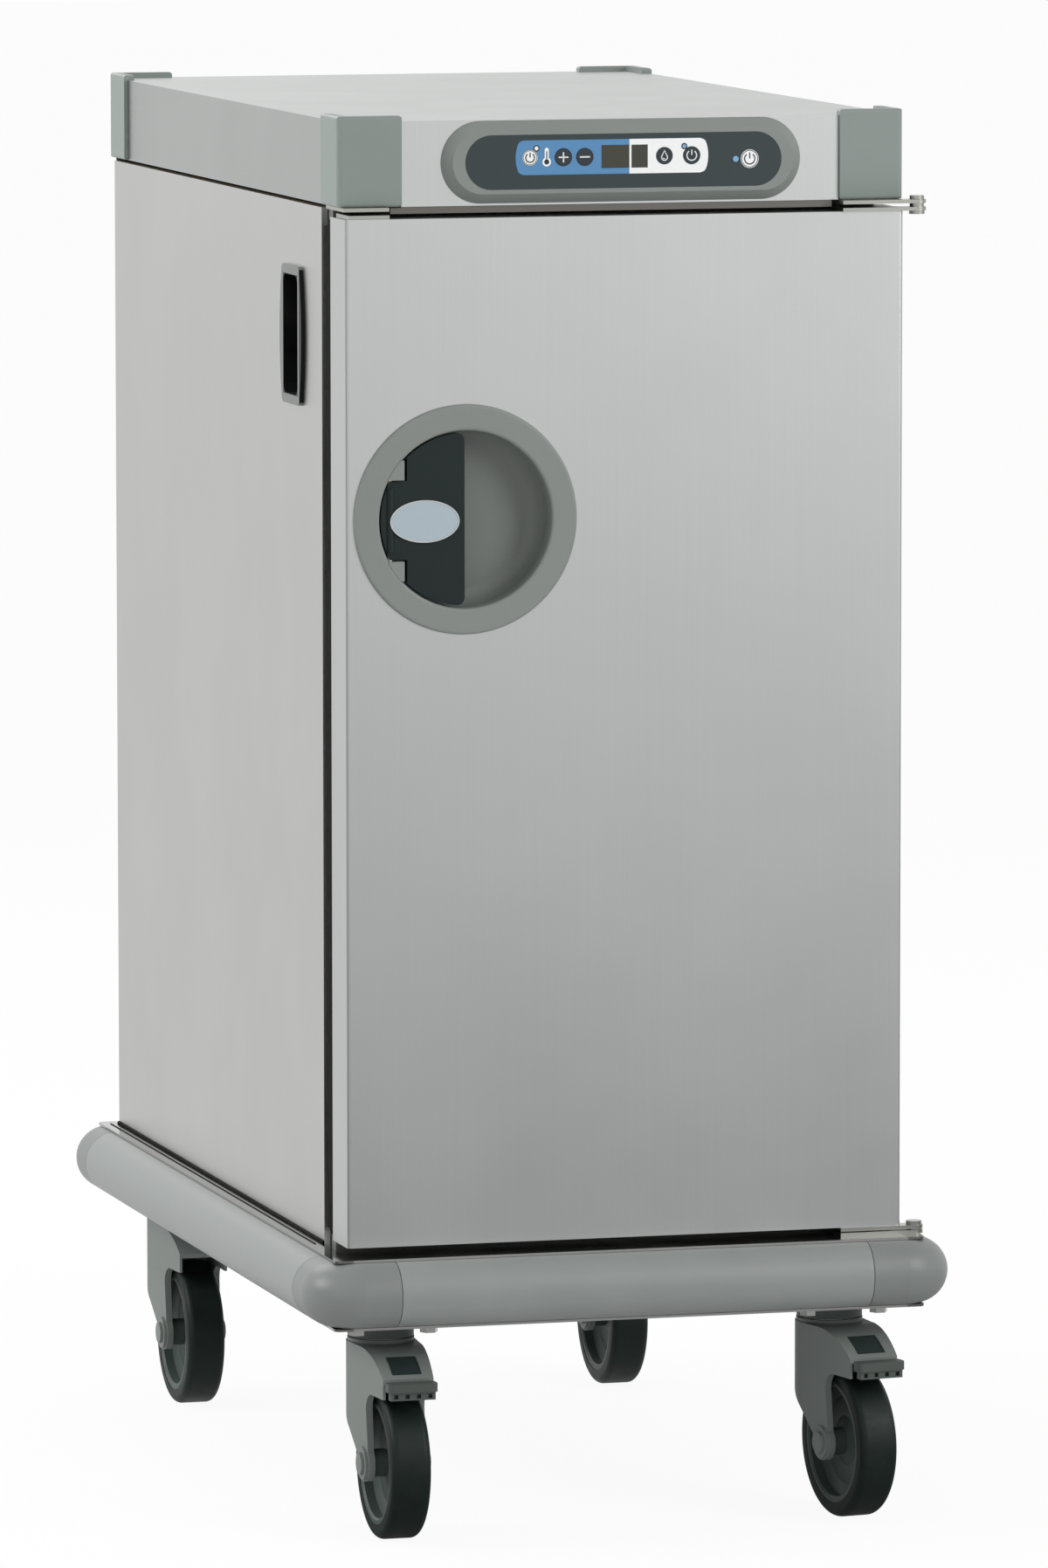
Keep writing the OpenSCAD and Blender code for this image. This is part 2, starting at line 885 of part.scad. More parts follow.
// Stadium-shaped block whose sides lean in towards the front
module bezel_body() {
    straight = (bezel_w - bezel_h) / 2;
    foot = bezel_h / 2;
    top = foot - bezel_slope;
    for (x = [-1, 1])
        translate([x * straight, fascia_y0, 0])
            rotate([90, 0, 0])
                cylinder(r1 = foot, r2 = top, h = bezel_proud);
    sideways(-straight, straight)
        polygon([[fascia_y0, -foot], [fascia_y0, foot],
            [fascia_y0 - bezel_proud, top], [fascia_y0 - bezel_proud, -top]]);
}

module control_bezel() {
    front = fascia_y0 - bezel_proud;
    color(grey)
        translate([0, 0, bezel_z])
            difference() {
                bezel_body();
                upright(front - over, front + overlay_t)
                    stadium([overlay_w + 2 * close_fit, overlay_h + 2 * close_fit]);
                upright(front, fascia_y0 + over)
                    stadium([window_w, window_h]);
            }
}

module key_hole(i, grow) {
    translate([key_x[i], key_up[i]])
        circle(key_d[i] / 2 + grow);
}

module display_outline(i, grow) {
    translate([display_x[i] - grow, key_row_up - display_h / 2 - grow])
        square([display_w[i] + 2 * grow, display_h + 2 * grow]);
}

module control_overlay() {
    front = fascia_y0 - bezel_proud;
    color(slate)
        translate([0, 0, bezel_z])
            difference() {
                upright(front, front + overlay_t)
                    stadium([overlay_w, overlay_h]);
                upright(front - over, front + overlay_t + over)
                    for (i = [0:len(key_x) - 1])
                        key_hole(i, key_gap);
                upright(front - over, front + display_t)
                    for (i = [0, 1])
                        display_outline(i, display_gap / 2);
            }
}

module display_windows() {
    front = fascia_y0 - bezel_proud;
    color(black)
        translate([0, 0, bezel_z])
            for (i = [0, 1])
                upright(front, front + display_t)
                    display_outline(i, -display_gap / 2);
}

module control_key(i) {
    front = fascia_y0 - bezel_proud;
    board_y = fascia_y0 + sheet + board_back;
    stem_end = board_y - switch_t - key_travel - switch_gap;
    color(key_light[i] ? bright : black)
        translate([0, 0, bezel_z]) {
            upright(front - key_proud, front - key_proud + key_cap_t)
                key_hole(i, 0);
            upright(front, stem_end)
                translate([key_x[i], key_up[i]])
                    circle(key_stem_r);
        }
}

module controller_board() {
    back = fascia_y0 + sheet;
    board_y = back + board_back;
    color("darkgreen")
        translate([0, 0, bezel_z]) {
            upright(board_y, board_y + board_t)
                square([board_w, board_h], center = true);
            for (x = [-1, 1], z = [-1, 1])
                translate([x * standoff_x, 0, z * standoff_z])
                    upright(back, board_y + board_t)
                        circle(standoff_r);
            for (i = [0:len(key_x) - 1])
                translate([key_x[i], 0, key_up[i]])
                    upright(board_y - switch_t, board_y + board_t)
                        square(switch_w, center = true);
        }
}

// Fan, heater and air guide

module fan_motor() {
    z0 = cap_z0 + sheet;
    color(slate)
        translate([0, fan_y, z0])
            difference() {
                union() {
                    cylinder(r = motor_foot_r, h = motor_foot_t);
                    cylinder(r = motor_r, h = motor_h);
                }
                translate([0, 0, -over])
                    cylinder(r = shaft_r + run_fit, h = motor_bore_depth + over);
            }
}

module fan_impeller() {
    z1 = cav_z1 - impeller_gap;
    z0 = z1 - impeller_h;
    color(bright)
        translate([0, fan_y, 0]) {
            translate([0, 0, z0])
                cylinder(r = shaft_r, h = cap_z0 + sheet + motor_bore_depth - fit - z0);
            translate([0, 0, z0])
                cylinder(r = impeller_hub_r, h = impeller_h);
            translate([0, 0, z1 - impeller_disc_t])
                cylinder(r = impeller_r, h = impeller_disc_t);
            for (i = [0:blade_count - 1])
                rotate([0, 0, i * 360 / blade_count])
                    translate([blade_in, 0, z0])
                        rotate([0, 0, blade_lean])
                            translate([0, -blade_t / 2, 0])
                                cube([impeller_r - blade_in, blade_t, impeller_h]);
        }
}

module element_leg_places() {
    for (turn = [0, element_sweep])
        rotate([0, 0, turn])
            translate([element_r, 0, 0])
                children();
}

module heating_element() {
    z = cav_z1 - element_drop;
    color(slate)
        translate([0, fan_y, z]) {
            rotate_extrude(angle = element_sweep)
                translate([element_r, 0])
                    circle(element_tube_r);
            element_leg_places()
                translate([0, 0, -element_sleeve_r])
                    cylinder(r = element_sleeve_r, h = cap_z0 + sheet - z + element_sleeve_r);
        }
}

module air_baffle() {
    z = cav_z1 - baffle_drop;
    x = cav_x - baffle_gap;
    y0 = panel_y0 + baffle_gap;
    y1 = cav_y1 - fit;
    step = (y1 - y0) / slot_count;
    color(bright)
        difference() {
            union() {
                block([-x, y0, z], [x, y1, z + liner_sheet]);
                for (side = [0, 1])
                    mirror([side, 0, 0])
                        block([x - liner_sheet, y0, z], [x, y1, cav_z1]);
            }
            translate([0, fan_y, z - over])
                cylinder(r = baffle_hole_r, h = liner_sheet + 2 * over);
            translate([probe_off_x, fan_y, z - over])
                cylinder(r = probe_r + fit, h = liner_sheet + 2 * over);
            for (side = [-1, 1], i = [0:slot_count - 1])
                translate([side * (x - slot_edge), y0 + step / 2 + i * step, z - over])
                    linear_extrude(liner_sheet + 2 * over)
                        rotate([0, 0, 90])
                            stadium([slot_l, slot_w]);
        }
}

module temperature_probe() {
    color(bright)
        translate([probe_off_x, fan_y, 0]) {
            translate([0, 0, cav_z1 - probe_drop])
                cylinder(r = probe_r, h = probe_drop + cap_z0 - cav_z1 + sheet);
            translate([0, 0, cap_z0 + sheet])
                cylinder(r = probe_head_r, h = probe_head_h);
        }
}

module cable_gland() {
    color(black)
        translate([gland_x, panel_y1, cap_z0 + cap_h / 2])
            rotate([-90, 0, 0])
                difference() {
                    union() {
                        translate([0, 0, -sheet - gland_nut_l])
                            cylinder(r = gland_neck_r, h = sheet + gland_nut_l + gland_l);
                        cylinder(r = gland_nut_r, h = gland_nut_l, $fn = 6);
                        translate([0, 0, -sheet - gland_nut_l])
                            cylinder(r = gland_nut_r, h = gland_nut_l, $fn = 6);
                        cylinder(r = gland_r, h = gland_l);
                    }
                    translate([0, 0, -sheet - gland_nut_l - over])
                        cylinder(r = gland_bore_r, h = sheet + gland_nut_l + gland_l + 2 * over);
                }
}

// Racks and grips

// Rack on the +X side: channel posts on the wall and folded ledges that face the middle
module rack() {
    y0 = panel_y0 + rack_front;
    x0 = cav_x - post_depth;
    post_step = (rack_l - post_w) / (post_count - 1);
    for (i = [0:post_count - 1])
        translate([0, y0 + i * post_step, 0])
            difference() {
                block([x0, 0, cav_z0], [cav_x, post_w, rack_z1]);
                block([x0 + post_wall, post_wall, cav_z0 - over],
                    [cav_x + over, post_w - post_wall, rack_z1 + over]);
            }
    for (i = [0:levels - 1])
        translate([0, 0, cav_z0 + first_level + i * level_pitch]) {
            block([x0 - ledge_w, y0, -ledge_t], [x0 - close_fit, y0 + rack_l, 0]);
            block([x0 - ledge_t, y0, -ledge_leg], [x0 - close_fit, y0 + rack_l, 0]);
        }
}

module left_rack() {
    color(bright)
        mirror([1, 0, 0])
            rack();
}

module right_rack() {
    color(bright)
        rack();
}

// Barrel outline of the grip's flange: two shallow arcs cut off square at the ends
module grip_outline() {
    end_w = grip_w - 2 * grip_side_r + 2 * sqrt(pow(grip_side_r, 2) - pow(grip_h / 2, 2)) + grip_ease;
    intersection() {
        translate([grip_side_r - grip_w / 2, 0])
            circle(grip_side_r);
        translate([grip_w / 2 - grip_side_r, 0])
            circle(grip_side_r);
        union() {
            square([grip_w, grip_h - 2 * grip_end_r], center = true);
            round_rect([end_w, grip_h], grip_end_r);
        }
    }
}

module side_grip() {
    cup = [grip_open_w + 2 * grip_wall, grip_open_h + 2 * grip_wall];
    translate([0, grip_y, grip_z])
        difference() {
            union() {
                sideways(half_w, half_w + grip_proud)
                    grip_outline();
                sideways(half_w - grip_depth - grip_wall, half_w + grip_proud)
                    round_rect(cup, grip_open_r + grip_wall);
            }
            sideways(half_w - grip_depth, half_w + grip_proud + over)
                round_rect([grip_open_w, grip_open_h], grip_open_r);
        }
}

module side_grips() {
    color(black)
        for (side = [0, 1])
            mirror([side, 0, 0])
                side_grip();
}

// Hinges

// Plan outline of a strap: a plate from y0 to y1 whose front edge runs out to the pivot lug
module strap_outline(x1, y0, y1) {
    difference() {
        union() {
            translate([half_w - strap_len, y0])
                square([x1 - half_w + strap_len, y1 - y0]);
            translate([half_w - strap_len, pivot_y - lug_r])
                square([pivot_x - half_w + strap_len, 2 * lug_r]);
            translate([pivot_x, pivot_y])
                circle(lug_r);
        }
        translate([pivot_x, pivot_y])
            circle(hinge_pin_r + run_fit);
    }
}

module hinge_brackets() {
    y1 = frame_y0 - fit;
    color(bright) {
        for (z = [cap_z0 - strap_t, deck_z])
            translate([0, 0, z])
                linear_extrude(strap_t)
                    strap_outline(half_w, pivot_y, y1);
        block([-half_w, pivot_y, cap_z0 - strap_t], [-half_w + blank_len, y1, cap_z0]);
    }
}

module door_hinge_straps() {
    x1 = half_w - strap_margin;
    y0 = door_y0 + strap_margin;
    y1 = door_y1 - strap_margin;
    color(bright) {
        for (z = [door_z0 - strap_t, door_z1])
            translate([0, 0, z])
                linear_extrude(strap_t)
                    strap_outline(x1, y0, y1);
        block([-half_w + strap_margin, y0, door_z1], [-half_w + blank_len, y1, door_z1 + strap_t]);
    }
}

// Headed pin drawn upwards from the door strap's outer face, with a collar between the straps
module hinge_pin(reach, gap) {
    translate([0, 0, -pin_head_h])
        cylinder(r = pin_head_r, h = pin_head_h);
    cylinder(r = hinge_pin_r, h = reach);
    translate([0, 0, strap_t])
        cylinder(r = collar_r, h = gap - close_fit);
}

module hinge_pins() {
    top_gap = cap_z0 - door_z1 - 2 * strap_t;
    foot_gap = door_foot - 2 * strap_t;
    color(bright) {
        translate([pivot_x, pivot_y, door_z1]) {
            hinge_pin(2 * strap_t + top_gap + pin_head_h, top_gap);
            translate([0, 0, 2 * strap_t + top_gap + close_fit])
                cylinder(r = collar_r, h = pin_head_h);
        }
        translate([pivot_x, pivot_y, door_z0])
            mirror([0, 0, 1])
                hinge_pin(2 * strap_t + foot_gap - fit, foot_gap);
    }
}

// Door

// Plan outline of the door with rounded front corners, set in all round by an inset
module door_outline(inset, r) {
    w = body_w - 2 * inset;
    translate([-w / 2, door_y0 + inset + r])
        square([w, door_t - inset - r]);
    translate([-w / 2 + r, door_y0 + inset])
        square([w - 2 * r, door_t - inset]);
    for (x = [-1, 1])
        translate([x * (w / 2 - r), door_y0 + inset + r])
            circle(r);
}

// Round cut through the door for the handle bowl
module bowl_room(y0, y1, grow) {
    translate([handle_x, 0, handle_cz])
        upright(y0, y1)
            circle(recess_r + bowl_wall + grow);
}

module door_skin() {
    color(steel)
        difference() {
            translate([0, 0, door_z0])
                linear_extrude(door_h)
                    door_outline(0, door_edge_r);
            translate([0, over, door_z0 + sheet])
                linear_extrude(door_h - 2 * sheet)
                    translate([0, sheet - over])
                        door_inside();
            bowl_room(door_y0 - over, door_y0 + sheet + over, fit);
        }
}

// Hollow of the door skin in plan, open at the back
module door_inside() {
    w = body_w - 2 * sheet;
    translate([-w / 2, door_y0])
        square([w, door_t + over]);
}

// Slot that the latch hook's stem slides in
module stem_slot(y0, y1) {
    block([stem_x - stem_gap, y0, handle_cz - stem_h / 2 - stem_gap],
        [stem_x + stem_w + hook_travel + stem_gap, y1, handle_cz + stem_h / 2 + stem_gap]);
}

module door_liner() {
    x = half_w - sheet - close_fit;
    z0 = door_z0 + sheet + close_fit;
    z1 = door_z1 - sheet - close_fit;
    color(bright)
        difference() {
            block([-x, door_y1 - liner_sheet, z0], [x, door_y1, z1]);
            stem_slot(door_y1 - liner_sheet - over, door_y1 + over);
        }
}

module door_insulation() {
    x = half_w - sheet - fit;
    z0 = door_z0 + sheet + fit;
    z1 = door_z1 - sheet - fit;
    color(wool)
        difference() {
            block([-x, door_y0 + sheet + fit, z0], [x, door_y1 - liner_sheet - fit, z1]);
            bowl_room(door_y0, door_y1, slide_tail);
        }
}

module door_gasket() {
    x = half_w - gasket_inset;
    z0 = door_z0 + gasket_inset;
    z1 = door_z1 - gasket_inset;
    x_in = x - gasket_w - close_fit;
    y0 = door_y1;
    y1 = frame_y0 - fit;
    color(black) {
        for (side = [0, 1])
            mirror([side, 0, 0])
                block([x - gasket_w, y0, z0], [x, y1, z1]);
        block([-x_in, y0, z0], [x_in, y1, z0 + gasket_w]);
        block([-x_in, y0, z1 - gasket_w], [x_in, y1, z1]);
    }
}

// Handle and latch

// Half section of the bowl: radius against depth behind the door's front face
module bowl_section() {
    flange_r = ring_d / 2;
    floor_r = recess_r - bowl_fillet_r;
    fillet_y = recess_depth - bowl_fillet_r;
    translate([recess_r, 0])
        square([bowl_wall, fillet_y]);
    translate([recess_r, -ring_proud + ring_edge_r])
        square([flange_r - recess_r, ring_proud - ring_edge_r]);
    translate([recess_r + ring_edge_r, -ring_proud])
        square([flange_r - recess_r - 2 * ring_edge_r, ring_proud]);
    for (r = [recess_r + ring_edge_r, flange_r - ring_edge_r])
        translate([r, -ring_proud + ring_edge_r])
            intersection() {
                circle(ring_edge_r);
                translate([-ring_edge_r, -ring_edge_r])
                    square([2 * ring_edge_r, ring_edge_r]);
            }
    translate([0, recess_depth])
        square([floor_r, bowl_wall]);
    translate([floor_r, fillet_y])
        intersection() {
            difference() {
                circle(bowl_fillet_r + bowl_wall);
                circle(bowl_fillet_r);
            }
            square(bowl_fillet_r + bowl_wall);
        }
}

// Moves a shape to the middle of the handle ring on the door's front face
module at_handle() {
    translate([handle_x, door_y0, handle_cz])
        children();
}

module handle_bowl() {
    back = recess_depth + bowl_wall;
    guide_z = slide_h / 2 + fit;
    slot_x1 = hook_travel + tail_w;
    color(grey)
        difference() {
            at_handle()
                union() {
                    rotate([-90, 0, 0])
                        rotate_extrude()
                            bowl_section();
                    bowl_ears();
                    for (side = [0, 1])
                        mirror([0, 0, side])
                            block([-pivot_reach + tail_w, back - bowl_wall / 2, guide_z],
                                [0, back + slide_gap + slide_t, guide_z + guide_w]);
                }
            translate([paddle_pivot_x, paddle_pivot_y, handle_cz - ear_z1 - over])
                cylinder(r = paddle_pin_r + run_fit, h = 2 * ear_z1 + 2 * over);
            block([paddle_pivot_x - tail_w, paddle_pivot_y + barrel_r, handle_cz - tail_h / 2 - ear_gap],
                [paddle_pivot_x + slot_x1, door_y0 + back + over, handle_cz + tail_h / 2 + ear_gap]);
        }
}

// Two lugs inside the ring that carry the paddle's pivot pin
module bowl_ears() {
    intersection() {
        upright(-ring_proud, ear_depth)
            circle(recess_r + bowl_wall / 2);
        for (side = [0, 1])
            mirror([0, 0, side])
                block([-recess_r - bowl_wall, -ring_proud, ear_z0], [-ear_in, ear_depth, ear_z1]);
    }
}

module paddle_pin() {
    color(bright)
        translate([paddle_pivot_x, paddle_pivot_y, handle_cz - paddle_pin_end])
            cylinder(r = paddle_pin_r, h = 2 * paddle_pin_end);
}

module latch_paddle() {
    notch_x = -ear_in + notch_gap;
    notch_z0 = ear_z0 - ear_gap;
    notch_z1 = ear_z1 + ear_gap;
    barrel_h = 2 * barrel_end;
    edge_r = recess_r - paddle_clear;
    corner_z = sqrt(pow(edge_r - paddle_corner_r, 2) - pow(paddle_corner_r, 2));
    color(black)
        difference() {
            union() {
                at_handle()
                    upright(paddle_sink, paddle_sink + paddle_t)
                        difference() {
                            circle(edge_r);
                            translate([0, -recess_r])
                                square([recess_r, 2 * recess_r]);
                            for (side = [0, 1])
                                mirror([0, side]) {
                                    translate([-recess_r, notch_z0])
                                        square([recess_r + notch_x, notch_z1 - notch_z0]);
                                    translate([-paddle_corner_r, corner_z])
                                        difference() {
                                            square([paddle_corner_r + over, recess_r - corner_z]);
                                            circle(paddle_corner_r);
                                        }
                                }
                        }
                translate([paddle_pivot_x, paddle_pivot_y, handle_cz - barrel_h / 2])
                    cylinder(r = barrel_r, h = barrel_h);
                translate([paddle_pivot_x, paddle_pivot_y, handle_cz - tail_h / 2])
                    latch_tail();
            }
            translate([paddle_pivot_x, paddle_pivot_y, handle_cz - ear_z0])
                cylinder(r = paddle_pin_r + run_fit, h = 2 * ear_z0);
        }
}

// Lever behind the paddle's pivot that ends in a round drive finger
module latch_tail() {
    block([-tail_w / 2, 0, 0], [tail_w / 2, finger_reach, tail_h]);
    translate([0, finger_reach, 0])
        cylinder(r = finger_r, h = tail_h);
}

module latch_hook() {
    slide_y1 = slide_y0 + slide_t;
    notch_w = 2 * (finger_r + stem_gap);
    notch_y1 = paddle_pivot_y + finger_reach + finger_r + stem_gap;
    half_stem = stem_h / 2;
    color(bright)
        difference() {
            union() {
                block([paddle_pivot_x - slide_tail, slide_y0, handle_cz - slide_h / 2],
                    [stem_x + stem_w, slide_y1, handle_cz + slide_h / 2]);
                block([stem_x, slide_y0, handle_cz - half_stem],
                    [stem_x + stem_w, nose_y0 + nose_t, handle_cz + half_stem]);
                block([nose_x, nose_y0, handle_cz - half_stem],
                    [stem_x + over, nose_y0 + nose_t, handle_cz + half_stem]);
            }
            block([paddle_pivot_x - notch_w / 2, slide_y0 - over, handle_cz - slide_h / 2 - over],
                [paddle_pivot_x + notch_w / 2, notch_y1, handle_cz + slide_h / 2 + over]);
        }
}

module striker_plate() {
    x = -cav_x;
    z0 = handle_cz - striker_h / 2;
    z1 = handle_cz + striker_h / 2;
    color(bright) {
        block([x, frame_y0 + striker_gap, z0], [x + striker_foot_t, striker_y0 + striker_t, z1]);
        block([x, striker_y0, z0], [nose_x + nose_reach - striker_foot_t, striker_y0 + striker_t, z1]);
    }
}

// Casters

module at_caster(i) {
    translate([caster_xs[i], caster_ys[i], 0])
        rotate([0, 0, swivels[i]])
            children();
}

module caster_plates() {
    z0 = caster_h - plate_t;
    color(bright)
        for (i = [0:len(caster_xs) - 1])
            translate([caster_xs[i], caster_ys[i], 0]) {
                difference() {
                    translate([0, 0, z0])
                        linear_extrude(plate_t)
                            round_rect([plate_w, plate_l], bolt_head_r);
                    for (x = [-1, 1], y = [-1, 1])
                        translate([x * bolt_pitch_x / 2, y * bolt_pitch_y / 2, z0 - over])
                            cylinder(r = bolt_hole_r, h = plate_t + 2 * over);
                }
                translate([0, 0, z0 - race_h])
                    cylinder(r = race_r, h = race_h);
                translate([0, 0, z0 - race_h - kingpin_l])
                    cylinder(r = kingpin_r, h = kingpin_l);
            }
}

module caster_bolts() {
    color(bright)
        caster_bolt_places() {
            translate([0, 0, -plate_t - bolt_head_h])
                cylinder(r = bolt_head_r, h = bolt_head_h, $fn = 6);
            translate([0, 0, -plate_t])
                cylinder(r = bolt_r, h = plate_t + deck_t + nut_h);
            translate([0, 0, deck_t])
                cylinder(r = bolt_head_r, h = nut_h, $fn = 6);
        }
}

// Side view of a fork: head and leg with a slanted back, bowed crown and an arch over the wheel
module fork_side() {
    difference() {
        union() {
            polygon([[head_r, crown_z1], [head_r, leg_taper_z],
                [-trail + boss_r * cos(boss_heel), wheel_r + boss_r * sin(boss_heel)],
                [-trail - boss_r * cos(boss_toe), wheel_r + boss_r * sin(boss_toe)],
                [leg_y, arch_z - arch_r], [leg_y, head_z0], [crown_top[0], crown_z1]]);
            translate([-trail, wheel_r])
                circle(boss_r);
            intersection() {
                polygon([[crown_top[0], crown_z1], [leg_y + over, arch_z - arch_r],
                    [leg_y - arch_r, arch_z - arch_r], [leg_y - arch_r, arch_z],
                    [crown_y, arch_z], [crown_y, head_z1], [crown_top[0], head_z1]]);
                crown_bow(0);
            }
        }
        translate([leg_y - arch_r, arch_z - arch_r])
            circle(arch_r);
    }
}

// Round that gives the crown its bowed top, or a smaller one for the room below it
module crown_bow(inset) {
    translate(bow_centre)
        circle(bow_r - inset);
}

// Plan of a fork: round head, tapered from there to the crown's front
module fork_plan() {
    front_x = head_r - crown_taper;
    circle(head_r);
    polygon([[-head_r, 0], [-front_x, crown_y], [front_x, crown_y], [head_r, 0]]);
}

// Room under the crown for the pedal's arm
module crown_pocket() {
    intersection() {
        translate([crown_y - over, head_z0 - over])
            square([-trail - pocket_back - crown_y + over, head_z1 - head_z0]);
        crown_bow(roof_t);
    }
}

module fork_body() {
    difference() {
        intersection() {
            sideways(-head_r, head_r)
                fork_side();
            linear_extrude(head_z1 + over)
                fork_plan();
        }
        block([-slot_half, -trail - wheel_r, -over], [slot_half, head_r - tail_wall, head_z0]);
        sideways(-slot_half, slot_half)
            crown_pocket();
    }
    translate([0, 0, head_z0 + over])
        cylinder(r = head_r - collar_in, h = head_z1 - head_z0 - over);
    translate([0, -trail, wheel_r])
        for (side = [0, 1])
            mirror([side, 0, 0])
                bar_x(boss_pad_r, slot_half, boss_x);
}

module fork(i, braked) {
    color(fork_grey)
        at_caster(i) {
            difference() {
                fork_body();
                translate([0, 0, head_z1 - kingpin_l - over])
                    cylinder(r = kingpin_r + run_fit, h = kingpin_l + 2 * over);
                translate([0, -trail, wheel_r])
                    bar_x(axle_r + run_fit, -head_r - over, head_r + over);
                if (braked)
                    pedal_pin_hole();
            }
            translate([0, -trail, wheel_r]) {
                bar_x(axle_r, -boss_x - close_fit, boss_x + close_fit);
                for (side = [0, 1])
                    mirror([side, 0, 0])
                        bar_x(cap_r, boss_x + close_fit, boss_x + axle_cap_t);
            }
        }
}

// Wheel parts are revolved about the axle and laid along X
module at_axle(i) {
    at_caster(i)
        translate([0, -trail, wheel_r])
            rotate([0, 90, 0])
                children();
}

// A hub is revolved from one section: boss, dished web and rim
module wheel_hub(i) {
    bore_r = axle_r + run_fit;
    hub_r = hub_d / 2;
    rim_r = hub_r - rim_t;
    half = [[bore_r, hub_boss_w / 2], [hub_boss_r, hub_boss_w / 2], [hub_boss_r, web_root / 2],
        [hub_boss_r + web_cone, web_t / 2], [rim_r - web_cone, web_t / 2], [rim_r, web_root / 2],
        [rim_r, rim_w / 2 - rim_ease], [rim_r + rim_ease, rim_w / 2], [hub_r, rim_w / 2]];
    other_half = [for (n = [len(half) - 1:-1:0]) [half[n][0], -half[n][1]]];
    color(slate)
        at_axle(i)
            rotate_extrude()
                polygon(concat(half, other_half));
}

module tyre(i) {
    inner = hub_d / 2 + tyre_gap;
    flat_r = wheel_r - tyre_shoulder;
    color(black)
        at_axle(i)
            rotate_extrude()
                intersection() {
                    translate([inner, -wheel_w / 2])
                        square([wheel_r - inner, wheel_w]);
                    union() {
                        translate([inner, -wheel_w / 2])
                            square([flat_r - inner, wheel_w]);
                        translate([inner, -wheel_w / 2 + tyre_shoulder])
                            square([wheel_r - inner, wheel_w - 2 * tyre_shoulder]);
                        for (side = [-1, 1])
                            translate([flat_r, side * (wheel_w / 2 - tyre_shoulder)])
                                circle(tyre_shoulder);
                    }
                }
}

// Side view of the pedal's arm: an eye on the pivot and a bent lever that runs out into the bar
module arm_side() {
    back = -pedal_pivot_y + arm_back;
    front = -pedal_tip + pedal_l / 2;
    bar_z0 = pedal_top_z - pedal_bar_t;
    polygon([[back, pedal_pivot_z + arm_up], [crown_y + arm_lead, bar_z0 + arm_join], [front, bar_z0 + arm_join],
        [front, bar_z0], [crown_y - arm_lead, bar_z0 - arm_sag], [-pedal_pivot_y, pedal_pivot_z - arm_under],
        [back, pedal_pivot_z - arm_under]]);
    translate([-pedal_pivot_y, pedal_pivot_z])
        circle(arm_eye_r);
}

// Blind holes in the crown's cheeks for the pedal's pivot pin
module pedal_pin_hole() {
    reach = arm_w / 2 + pedal_pin_l + fit;
    translate([0, -pedal_pivot_y, pedal_pivot_z])
        bar_x(pedal_pivot_r + run_fit, -reach, reach);
}

module brake_pedal(i) {
    bar_z0 = pedal_top_z - pedal_bar_t;
    lip_z0 = bar_z0 - pedal_lip_t;
    lip_y0 = -pedal_tip + pedal_lip_in;
    pin_x = arm_w / 2 + pedal_pin_l;
    color(fork_grey)
        at_caster(i)
            difference() {
                union() {
                    sideways(-arm_w / 2, arm_w / 2)
                        arm_side();
                    translate([0, -pedal_tip + pedal_l / 2, bar_z0])
                        linear_extrude(pedal_bar_t)
                            round_rect([pedal_w, pedal_l], pedal_corner_r);
                    block([-pedal_w / 2 + pedal_lip_in, lip_y0, lip_z0],
                        [pedal_w / 2 - pedal_lip_in, lip_y0 + pedal_lip_l, bar_z0 + close_fit]);
                    translate([0, -pedal_pivot_y, pedal_pivot_z])
                        bar_x(pedal_pivot_r, -pin_x, pin_x);
                }
                for (n = [0:hole_count - 1])
                    translate([(n - (hole_count - 1) / 2) * hole_pitch - hole_side / 2, lip_y0 - over,
                        lip_z0 + pedal_lip_t / 2 - hole_side / 2])
                        cube([hole_side, hole_depth + over, hole_side]);
            }
}

chassis();
bumper_rails();
bumper_corners();
left_side_panel();
right_side_panel();
rear_panel();
inner_liner();
front_frame();
insulation();
cap_base();
top_cover();
fascia_panel();
top_corner_blocks();
control_bezel();
control_overlay();
display_windows();
controller_board();
control_key(0);  // heat_key
control_key(1);  // plus_key
control_key(2);  // minus_key
control_key(3);  // humidity_key
control_key(4);  // timer_key
control_key(5);  // mains_key
fan_motor();
fan_impeller();
heating_element();
air_baffle();
temperature_probe();
cable_gland();
left_rack();
right_rack();
side_grips();
hinge_brackets();
striker_plate();
door_skin();
door_liner();
door_insulation();
door_gasket();
door_hinge_straps();
hinge_pins();
handle_bowl();
paddle_pin();
latch_paddle();
latch_hook();
caster_plates();
caster_bolts();
fork(0, true);  // fork_front_left
fork(1, true);  // fork_front_right
fork(2, false);  // fork_rear_left
fork(3, false);  // fork_rear_right
wheel_hub(0);  // hub_front_left
wheel_hub(1);  // hub_front_right
wheel_hub(2);  // hub_rear_left
wheel_hub(3);  // hub_rear_right
tyre(0);  // tyre_front_left
tyre(1);  // tyre_front_right
tyre(2);  // tyre_rear_left
tyre(3);  // tyre_rear_right
brake_pedal(0);  // brake_pedal_left
brake_pedal(1);  // brake_pedal_right
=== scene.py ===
"""Studio scene of the hot cupboard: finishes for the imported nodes, printed details, lights and camera."""

import math

import bmesh
import bpy
from mathutils import Matrix, Vector
from mathutils.geometry import tessellate_polygon


